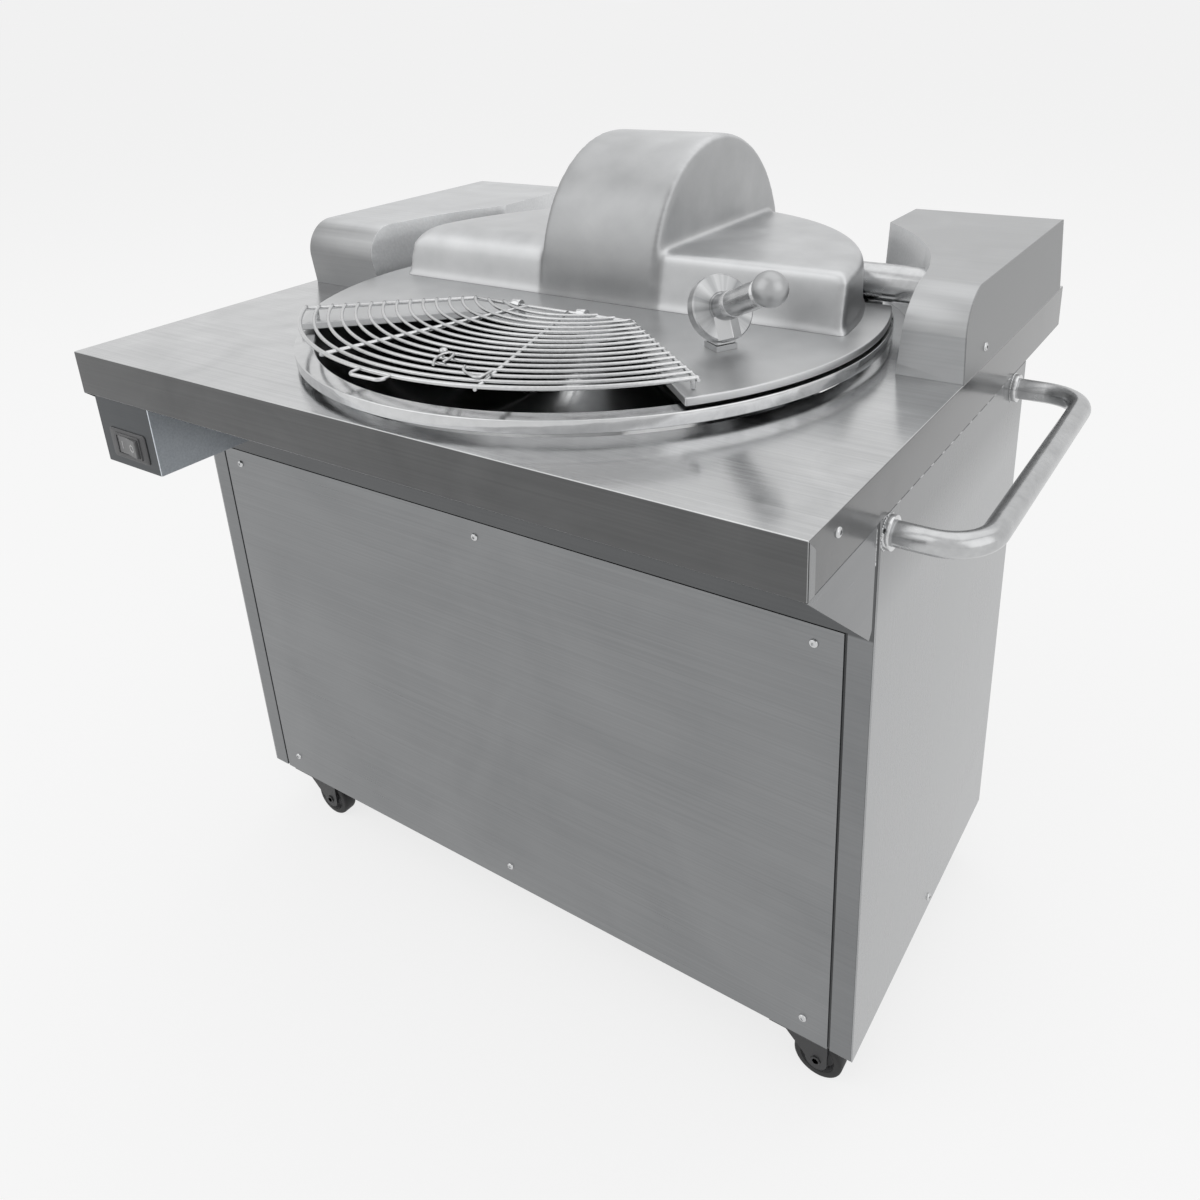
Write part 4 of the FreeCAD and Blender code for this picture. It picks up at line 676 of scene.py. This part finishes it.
def knife_hood():
    """Hump, wings and skirt melted into one casting, hollowed, and slotted for the spindle."""
    bottom = LID_TOP - HOOD_SUNK
    box_low, box_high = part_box("knife_hood")
    radius = SPINDLE.y - box_low.y
    bm = bmesh.new()
    profile = hood_profile(radius, box_high.z - radius, bottom)
    prism(bm, [(BOWL_X - HOOD_HALF_WIDTH, SPINDLE.y + y, z) for y, z in profile],
          (HOOD_HALF_WIDTH * 2, 0, 0))
    for name, side, corner, edge in (("wing_right", 1, 14 * MM, 10 * MM),
                                     ("wing_left", -1, 38 * MM, 38 * MM)):
        mesh = wing(name, side, corner, edge)
        bm.from_mesh(mesh)
        bpy.data.meshes.remove(mesh)
    skirt, skirt_height = WING_RADIUS + 5 * MM, 1.5 * MM
    prism(bm, [(BOWL_X + skirt * math.cos(a), BOWL_Y + skirt * math.sin(a), bottom)
               for a in turns(0, math.pi, 64)], (0, 0, LID_TOP + skirt_height - bottom))
    solid = scratch("hood_solid", bm)
    remesh = solid.modifiers.new("voxels", "REMESH")
    remesh.mode = "VOXEL"
    remesh.voxel_size = 3.2 * MM
    relax = solid.modifiers.new("relax", "SMOOTH")
    relax.factor = 0.5
    relax.iterations = 30
    mesh = baked(solid)
    bm = bmesh.new()
    bm.from_mesh(mesh)
    cut_off(bm, (0, 0, LID_TOP + 0.2 * MM), (0, 0, -1))
    shell = scratch("hood_shell", bm)
    thick = shell.modifiers.new("wall", "SOLIDIFY")
    thick.thickness = HOOD_WALL
    thick.offset = -1
    slot_half, slot_past = 25 * MM, 50 * MM
    bm = bmesh.new()
    slot = [(0, slot_half, bottom)]
    slot += [(0, slot_half * math.cos(a), SPINDLE.z + slot_half * math.sin(a))
             for a in turns(0, math.pi, 24)]
    slot.append((0, -slot_half, bottom))
    prism(bm, slot, (WING_RADIUS + slot_past, 0, 0),
          Matrix.Translation((BOWL_X, SPINDLE.y, 0)))
    tool = scratch("hood_slot", bm)
    cut = shell.modifiers.new("slot", "BOOLEAN")
    cut.operation = "DIFFERENCE"
    cut.object = tool
    mesh = baked(shell)
    bpy.data.objects.remove(tool)
    dress("hood_casting", mesh, "lid", HOOD, ["knife_hood"], crease=50)


# Wire guard

def guard():
    """Arcs, rays, pivot wire, finger loop and feet, all of round wire."""
    top = high("guard").z
    thin, thick = 2.0 * MM, 2.5 * MM
    z = top - thick
    under = z - thin
    arc_step, ray_past, pivot_past, foot_inset = 7 * MM, 2 * MM, 4 * MM, 12 * MM
    centre = (BOWL_X, BOWL_Y)
    bm = bmesh.new()
    for index in range(GUARD_WIRES):
        radius = GUARD_RADIUS - GUARD_SPACING * index
        half = GUARD_HALF_ANGLE
        if radius * math.cos(half) < GUARD_PIVOT:
            half = math.acos(GUARD_PIVOT / radius)
        steps = max(8, round(half * 2 * radius / arc_step))
        sweep(bm, arc(centre, radius, -half, half, steps, z), thick if index == 0 else thin)
    for share in GUARD_RAYS:
        angle = GUARD_HALF_ANGLE * share
        start = GUARD_PIVOT / math.cos(angle)
        sweep(bm, [Vector((BOWL_X + r * math.sin(angle), BOWL_Y - r * math.cos(angle), under))
                   for r in (start, (start + GUARD_RADIUS) / 2, GUARD_RADIUS + ray_past)], thick)
    pivot_y = BOWL_Y - GUARD_PIVOT
    half = GUARD_PIVOT * math.tan(GUARD_HALF_ANGLE) + pivot_past
    sweep(bm, [(BOWL_X - half, pivot_y, under), (BOWL_X, pivot_y, under),
               (BOWL_X + half, pivot_y, under)], thick)
    foot_base = LID_TOP + 0.3 * MM
    for side in (-1, 1):
        reach = GUARD_RADIUS - foot_inset
        x = BOWL_X + side * reach * math.sin(GUARD_HALF_ANGLE)
        y = BOWL_Y - reach * math.cos(GUARD_HALF_ANGLE)
        sweep(bm, [(x, y, foot_base + thick * CAP_REACH), (x, y, under)], thick)
    piece("guard_wires", bm, "wire_guard", WIRE, ["guard"], crease=60)

    loop = bmesh.new()
    half_width, reach, bend, aside = 22 * MM, 16 * MM, 7 * MM, math.radians(-2.5)
    x = BOWL_X + GUARD_RADIUS * math.sin(aside)
    y = BOWL_Y - GUARD_RADIUS
    path = [Vector((x - half_width, y + 1 * MM, z)), Vector((x - half_width, y - reach + bend, z))]
    for start, corner in ((math.pi, -1), (math.pi * 1.5, 1)):
        path += [Vector((x + corner * (half_width - bend) + bend * math.cos(a),
                         y - reach + bend + bend * math.sin(a), z))
                 for a in turns(start, start + QUARTER, 6)[1:]]
    path.append(Vector((x + half_width, y + 1 * MM, z)))
    sweep(loop, path, thin)
    piece("guard_loop", loop, "wire_guard", WIRE, crease=60)
    latch(top)


def latch(top):
    """A bent wire hook with its button, and a small clip over the outer wires."""
    wire = 1.5 * MM
    level = top + wire * 0.8
    hook = [(19, -349), (11, -340), (5, -328), (4, -317), (9, -311), (15, -314), (20, -325),
            (22, -338)]
    clip = [(50, -337), (56, -347), (70, -354), (83, -358), (86, -353), (85, -344), (84, -337)]
    bm = bmesh.new()
    for path in (hook, clip):
        sweep(bm, smooth([Vector((x * MM, y * MM, level)) for x, y in path]), wire)
    button = Matrix.Translation((-4 * MM, -310 * MM, top))
    lathe(bm, in_mm([(0, 0), (4.4, 0), (4.4, 2), (3.4, 3.4), (1.8, 4), (0, 4.2)]), button, 32)
    lathe(bm, in_mm([(0, -6), (2, -6), (2, 0.2), (0, 0.2)]), button, 20)
    piece("guard_latch", bm, "wire_guard", WIRE, crease=50)


def smooth(points, rounds=2):
    """Cut the corners of an open path."""
    for _ in range(rounds):
        finer = [points[0]]
        for a, b in zip(points, points[1:]):
            finer += [a.lerp(b, 0.25), a.lerp(b, 0.75)]
        points = finer + [points[-1]]
    return points


def hinge_straps():
    """A strap on the lid under each lug that holds the guard's pivot wire."""
    half_length, half_width, corner, thickness = 15 * MM, 9 * MM, 3 * MM, 1.4 * MM
    screw_aside = 10.5 * MM
    bm = bmesh.new()
    for box_low, box_high in islands("guard_lugs"):
        centre = (box_low + box_high) / 2
        outline = [(x, y, LID_TOP) for x, y in rounded(half_length, half_width, corner)]
        prism(bm, outline, (0, 0, thickness), Matrix.Translation((centre.x, centre.y, 0)))
        for side in (-1, 1):
            lathe(bm, in_mm([(3, 1.2), (2.8, 2.3), (1.6, 3), (0, 3.2)]),
                  Matrix.Translation((centre.x + side * screw_aside, centre.y, LID_TOP)), 20)
    soften(piece("guard_straps", bm, "lid", POLISHED, crease=30), 0.3 * MM)


# Lever on the lid

def lever():
    """A disc on a square post, with a rod and a knob that point up and outwards."""
    level = Vector((LEVER_BALL.x - LEVER_FOOT.x, LEVER_BALL.y - LEVER_FOOT.y, 0))
    hub_z = LEVER_BALL.z - level.length * math.tan(LEVER_RISE)
    hub = Vector((LEVER_FOOT.x, LEVER_FOOT.y, hub_z))
    axis = (LEVER_BALL - hub).normalized()
    turn = axis.to_track_quat("Z", "Y").to_matrix().to_4x4()
    place = Matrix.Translation(hub) @ turn
    disc_radius, half, edge = 36 * MM, 7 * MM, 1.5 * MM
    dish_radius, dish_depth = 17 * MM, 0.6 * MM
    bm = bmesh.new()
    lathe(bm, [(0, -half), (disc_radius - edge, -half), (disc_radius, edge - half),
               (disc_radius, half - edge), (disc_radius - edge, half), (dish_radius, half),
               (dish_radius - 1 * MM, half - dish_depth), (0, half - dish_depth)], segments=96)
    piece("lever_disc", bm, "lid_lever", TURNED, ["lever_hub"], crease=30,
          place=place)
    bm = bmesh.new()
    foot_top = high("lever_foot").z + 0.3 * MM
    block = 11.8 * MM
    turned = Matrix.Translation((LEVER_FOOT.x, LEVER_FOOT.y, 0)) @ Matrix.Rotation(
        math.atan2(level.y, level.x), 4, "Z")
    prism(bm, [(x, y, foot_top) for x, y in rounded(block, block, 2 * MM, 3)],
          (0, 0, hub_z - foot_top), turned)
    stud, stud_low, stud_high = 7 * MM, LID_TOP + 1 * MM, foot_top + 1 * MM
    lathe(bm, [(0, stud_low), (stud, stud_low), (stud, stud_high), (0, stud_high)],
          Matrix.Translation((LEVER_FOOT.x, LEVER_FOOT.y, 0)), 32)
    wedge_side, wedge_ridge, wedge_base = 15 * MM, 7.5 * MM, half - 0.5 * MM
    wedge_start, wedge_length = -8 * MM, 26 * MM
    prism(bm, [(-wedge_side, wedge_start, wedge_base), (wedge_side, wedge_start, wedge_base),
               (0, wedge_start, half + wedge_ridge)], (0, -wedge_length, 0), place)
    soften(piece("lever_post", bm, "lid_lever", LID, crease=30), 0.8 * MM)
    arm, collar, ball, flat = 14.2 * MM, 14.9 * MM, 18.2 * MM, 13 * MM
    collar_end = half + 24 * MM
    rod_end = (LEVER_BALL - hub).length - ball
    bm = bmesh.new()
    lathe(bm, [(0, half - 1 * MM), (collar, half - 1 * MM), (collar, collar_end),
               (collar - 0.3 * MM, collar_end + 0.6 * MM), (arm, collar_end + 0.8 * MM),
               (arm, rod_end + 1 * MM), (arm - 2 * MM, rod_end + 4 * MM),
               (0, rod_end + 4 * MM)], segments=48)
    piece("lever_rod", bm, "lid_lever", HANDLE, ["lever_arm"], crease=30,
          place=place)
    bm = bmesh.new()
    start = math.asin(flat / ball)
    bulge = [(ball * math.sin(a), -ball * math.cos(a)) for a in turns(start, math.pi, 28)[:-1]]
    lathe(bm, [(0, -ball * math.cos(start)), *bulge, (0, ball)], segments=56)
    piece("lever_knob", bm, "lid_lever", CAST, ["lever_ball"], crease=30,
          place=Matrix.Translation(LEVER_BALL) @ turn)


# Push handle

def push_handle():
    """A bent tube, and beads of weld round its feet and along the sheets beside it."""
    box_low, box_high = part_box("push_handle")
    radius = (box_high.z - box_low.z) / 2
    bend = 45 * MM
    z = middle("push_handle").z
    grip_x = box_high.x - radius
    front, rear = box_low.y + radius, box_high.y - radius
    path = [Vector((RIGHT, front, z)), Vector((grip_x - bend - 1 * MM, front, z))]
    for start, centre_y in ((-QUARTER, front + bend), (0, rear - bend)):
        path += [Vector((grip_x - bend + bend * math.cos(a), centre_y + bend * math.sin(a), z))
                 for a in turns(start, start + QUARTER, 14)]
    path += [Vector((grip_x - bend - 1 * MM, rear, z)), Vector((RIGHT, rear, z))]
    bm = bmesh.new()
    sweep(bm, path, radius, 36)
    cut_off(bm, (RIGHT, 0, 0), (-1, 0, 0))
    piece("handle_tube", bm, "machine", HANDLE, ["push_handle"], crease=60)

    dice = random.Random(5)
    bm = bmesh.new()
    bead, foot_beads, foot_ring = 1.3 * MM, 44, 17.1 * MM
    for y in (front, rear):
        for k in range(foot_beads):
            turn = math.tau * (k + dice.uniform(-0.3, 0.3)) / foot_beads
            ring = foot_ring + dice.uniform(-0.2, 0.3) * MM
            centre = Vector((RIGHT + 0.3 * MM, y + ring * math.cos(turn),
                             z + ring * math.sin(turn)))
            blob(bm, centre, bead * dice.uniform(0.6, 1.3))
    corner = high("gusset_right")
    gusset_beads, gusset_step = 22, 1.7 * MM
    for k in range(gusset_beads):
        centre = Vector((RIGHT - 0.3 * MM, corner.y + dice.uniform(0, 0.8) * MM,
                         corner.z - 4 * MM - k * gusset_step))
        blob(bm, centre, bead * dice.uniform(0.5, 1.2))
    seam_beads, seam_start, seam_step = 14, corner.y + 24 * MM, 31 * MM
    seam_z = low("worktop").z - 0.2 * MM
    for k in range(seam_beads):
        centre = Vector((RIGHT - 0.6 * MM, seam_start + seam_step * k + dice.uniform(-3, 3) * MM,
                         seam_z))
        blob(bm, centre, bead, Matrix.Diagonal((1, dice.uniform(3.0, 5.0), 1, 1)))
    piece("weld_beads", bm, "machine", WIRE, crease=80)


def blob(bm, centre, size, stretch=Matrix()):
    """A flattened drop of weld metal."""
    place = Matrix.Translation(centre) @ Matrix.Diagonal((0.5, 1, 1, 1)) @ stretch
    bmesh.ops.create_icosphere(bm, subdivisions=2, radius=size, matrix=place)


# Screws

def screws():
    """Pan heads with a hexagonal socket, where the CAD has its screw heads."""
    for node, direction in (("front_panel_screws", Vector((0, -1, 0))),
                            ("side_screws", Vector((1, 0, 0)))):
        bm = bmesh.new()
        for box_low, box_high in islands(node):
            centre = (box_low + box_high) / 2
            height = abs((box_high - box_low).dot(direction))
            radius = max(box_high - box_low) / 2
            base = centre - direction * height / 2
            turn = direction.to_track_quat("Z", "Y").to_matrix().to_4x4()
            place = Matrix.Translation(base) @ turn
            dome = ((1, 0), (0.99, 0.35), (0.88, 0.72), (0.68, 0.93), (0.5, 1))
            profile = [(radius * across, height * up) for across, up in dome]
            head(bm, profile, radius * 0.42, height, place)
        piece(node + "_heads", bm, "machine", POLISHED, [node], crease=40)


def head(bm, profile, socket, height, place):
    """A turned screw head with a hexagonal socket, whose corners are at the socket's radius."""
    segments, floor, sixth = 36, height * 0.25, math.pi / 6
    rings = [[bm.verts.new(place @ Vector((r * math.cos(a), r * math.sin(a), h)))
              for a in around(segments)] for r, h in profile]
    for depth in (height, floor):
        ring = []
        for turn in around(segments):
            sector = (turn % (sixth * 2)) - sixth
            reach = socket * math.cos(sixth) / math.cos(sector)
            ring.append(bm.verts.new(place @ Vector(
                (reach * math.cos(turn), reach * math.sin(turn), depth))))
        rings.append(ring)
    skin(bm, rings)
    bm.faces.new(rings[-1][::-1])
    bm.faces.new(rings[0])


# Switch

def switch():
    """A stepped bezel, a rocker with two slanting faces, and the on and off marks."""
    box_low, box_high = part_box("switch_plate")
    centre = middle("switch_plate")
    half_x, half_z = (box_high.x - box_low.x) / 2, (box_high.z - box_low.z) / 2
    depth = box_high.y - box_low.y
    rock_low, rock_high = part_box("switch_rocker")
    gap, collar, slant = 0.9 * MM, 3 * MM, 1.2 * MM
    outer = rounded(half_x, half_z, 5 * MM)
    face = rounded(half_x - slant, half_z - slant, 4 * MM)
    hole_x = (rock_high.x - rock_low.x) / 2 + gap
    hole_z = (rock_high.z - rock_low.z) / 2 + gap / 2
    frame_x, frame_z = hole_x + collar, hole_z + collar
    raised = rounded(frame_x, frame_z, 2.5 * MM)
    hole = rounded(hole_x, hole_z, 1 * MM)
    plate_face = depth * 0.55
    loops = [(outer, 0), (outer, plate_face * 0.6), (face, plate_face),
             (raised, plate_face), (raised, depth * 0.9),
             (rounded(frame_x - 0.5 * MM, frame_z - 0.5 * MM, 2 * MM), depth),
             (hole, depth), (hole, 0)]
    bm = bmesh.new()
    rings = [[bm.verts.new((centre.x + x, box_high.y - height, centre.z + z)) for x, z in points]
             for points, height in loops]
    skin(bm, rings + rings[:1])
    piece("switch_bezel", bm, "machine", SWITCH_FRAME, ["switch_plate"], crease=30)

    bm = bmesh.new()
    left, right = rock_low.x, rock_high.x
    back, front = box_high.y + 1 * MM, rock_low.y
    middle_x = (left + right) / 2
    flat = box_low.y + 1 * MM
    on_face = ((left + 1 * MM, flat - 0.3 * MM), (middle_x - 1 * MM, box_low.y - 0.2 * MM))
    off_face = ((middle_x + 1 * MM, box_low.y - 0.6 * MM), (right - 1.2 * MM, front))
    outline = [(left, back), (left, flat), *on_face, *off_face, (right, front + 1 * MM),
               (right, back)]
    prism(bm, [(x, y, rock_low.z) for x, y in outline], (0, 0, rock_high.z - rock_low.z))
    pivot = rock_high.y - box_high.y
    lathe(bm, [(0, rock_low.z), (pivot, rock_low.z), (pivot, rock_high.z), (0, rock_high.z)],
          Matrix.Translation((middle_x, box_high.y, 0)), 24)
    soften(piece("rocker_button", bm, "rocker", ROCKER, ["switch_rocker"],
                 crease=20), 0.5 * MM)

    bm = bmesh.new()
    ring_out, ring_in, thickness = 5.4 * MM, 3.4 * MM, 0.4 * MM
    lathe(bm, [(ring_in, 0), (ring_out, 0), (ring_out, thickness), (ring_in, thickness),
               (ring_in, 0)], face_place(off_face, 0.52, centre.z), 40)
    bar = [(x, y, 0) for x, y in rounded(0.9 * MM, 5 * MM, 0.4 * MM, 2)]
    prism(bm, bar, (0, 0, thickness), face_place(on_face, 0.45, centre.z))
    piece("rocker_marks", bm, "rocker", MARK, crease=30)


def face_place(face, share, z):
    """Where a mark lies on a rocker face, given by its two ends: 0.15 mm deep, Z outwards."""
    start, end = (Vector((*point, z)) for point in face)
    turn = math.atan2(end.y - start.y, end.x - start.x)
    return (Matrix.Translation(start.lerp(end, share)) @ Matrix.Rotation(turn, 4, "Z")
            @ Matrix.Rotation(QUARTER, 4, "X") @ Matrix.Translation((0, 0, -0.15 * MM)))


# Castors

CORNERS = [f"{end}_{side}" for end in ("front", "rear") for side in ("left", "right")]


def castors():
    for name in CORNERS:
        wheel(name)
        race(name)


def wheel(name):
    """A tyre with rounded shoulders on a hub with a thin web."""
    box_low, box_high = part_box(f"castor_wheel_{name}")
    centre = (box_low + box_high) / 2
    radius = (box_high.z - box_low.z) / 2
    half = (box_high.y - box_low.y) / 2
    place = Matrix.Translation(centre) @ Matrix.Rotation(QUARTER, 4, "X")
    inner, shoulder = radius * 0.68, 4 * MM
    crown = [(radius - shoulder * (1 - math.cos(a)), half - shoulder + shoulder * math.sin(a))
             for a in turns(0, QUARTER, 5)]
    profile = [(inner, -half + 1 * MM), (inner + 1 * MM, -half)]
    profile += [(r, -h) for r, h in reversed(crown)]
    profile += crown
    profile += [(inner + 1 * MM, half), (inner, half - 1 * MM), (inner, -half + 1 * MM)]
    bm = bmesh.new()
    lathe(bm, profile, place, 56)
    piece(f"tyre_{name}", bm, f"wheel_{name}", TYRE, [f"castor_wheel_{name}"])
    bore, boss, web = 4.1 * MM, 9 * MM, half * 0.35
    bm = bmesh.new()
    lathe(bm, [(bore, -half), (boss, -half), (boss, -web - 1 * MM), (boss + 2 * MM, -web),
               (inner - 2 * MM, -web), (inner, -half + 1.2 * MM), (inner, half - 1.2 * MM),
               (inner - 2 * MM, web), (boss + 2 * MM, web), (boss, web + 1 * MM), (boss, half),
               (bore, half), (bore, -half)], place, 56)
    piece(f"wheel_hub_{name}", bm, f"wheel_{name}", HUB)


def race(name):
    """The swivel's ball race between plate and fork, and the axle's nut and head."""
    plate = low("castor_plates").z
    axle = middle(f"castor_wheel_{name}")
    swivel = Vector((axle.x - CASTOR_TRAIL, axle.y, 0))
    bottom, top, fork_half = 66 * MM, plate - 0.4 * MM, 15 * MM
    rim, face = 22 * MM, 20 * MM
    bm = bmesh.new()
    lathe(bm, [(0, bottom), (face, bottom), (rim, bottom + 3 * MM), (rim, plate - 2.3 * MM),
               (face, top), (0, top)], Matrix.Translation(swivel), 48)
    for side in (-1, 1):
        place = Matrix.Translation((axle.x, axle.y + side * fork_half, axle.z)) @ Matrix.Rotation(
            -side * QUARTER, 4, "X")
        lathe(bm, in_mm([(0, -1), (6.5, -1), (6.5, 1), (5.5, 1.8), (0, 1.8)]), place, 6)
    piece(f"swivel_race_{name}", bm, f"fork_{name}", BLACK_STEEL, crease=30)


# Corner fold of the worktop

def corner_fold():
    """The front apron's flap, lapped round the right corner with a mitre at its top."""
    box_low, box_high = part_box("worktop")
    width, thick = 13 * MM, 0.7 * MM
    front, back = box_low.y + 1.5 * MM, box_low.y + width
    bottom, top = box_low.z + 1 * MM, box_high.z
    outline = [(RIGHT, front, bottom), (RIGHT, back, bottom), (RIGHT, back, top - width),
               (RIGHT, front, top - 2 * MM)]
    bm = bmesh.new()
    prism(bm, outline, (thick, 0, 0))
    soften(piece("corner_flap", bm, "machine", SHEET_UPRIGHT, crease=20), 0.3 * MM)


# Finishes of the CAD nodes that stay

def finishes():
    carry(["worktop"], SHEET_TOP, 1.3 * MM, 3)
    carry(["gusset_left", "gusset_right", "bowl_bridge", "motor_shelf"], SHEET_ACROSS, 0.5 * MM)
    carry(["front_panel"], SHEET_FRONT, 0.7 * MM)
    carry(["cabinet_frame"], SHEET_FRAME, 0.7 * MM)
    carry(["control_box"], SHEET_BOX, 0.7 * MM)
    carry(["side_panel_left", "side_panel_right", "rear_panel"], SHEET_UPRIGHT, 0.4 * MM)
    carry(["left_cover"], COVER, 1.5 * MM, 3)
    carry(["belt_cover"], BELT_COVER, 1.5 * MM, 3)
    carry(["lid_plate"], LID, 1.6 * MM, 3)
    carry(["lid_hinge_arm", "lid_hinge_bracket", "bowl_bearing_housing", "spindle_pedestal",
           "lever_foot"], CAST, 0.7 * MM)
    carry(["bowl"], POLISHED, 1.2 * MM, 3)
    carry(["bowl_nut", "bowl_shaft", "knife_1", "knife_2", "knife_3", "knife_nut", "knife_spacers",
           "knife_shaft", "knife_bearings", "bowl_bearings", "motor_shaft",
           "lid_hinge_pin", "guard_lugs", "handle_collars"], POLISHED, 0.4 * MM)
    carry(["spindle_housing"], HANDLE, 0.4 * MM)
    carry(["knife_pulley", "motor_pulley"], IRON, 0.5 * MM)
    carry(["knife_motor", "bowl_gearmotor"], MOTOR_PAINT, 2 * MM)
    carry(["drive_belt"], BELT, 0.5 * MM)
    carry(["castor_plates"] + [f"castor_fork_{name}" for name in CORNERS], BLACK_STEEL, 0.5 * MM)


look()
studio()
finishes()
knife_hood()
guard()
hinge_straps()
lever()
push_handle()
screws()
switch()
castors()
corner_fold()
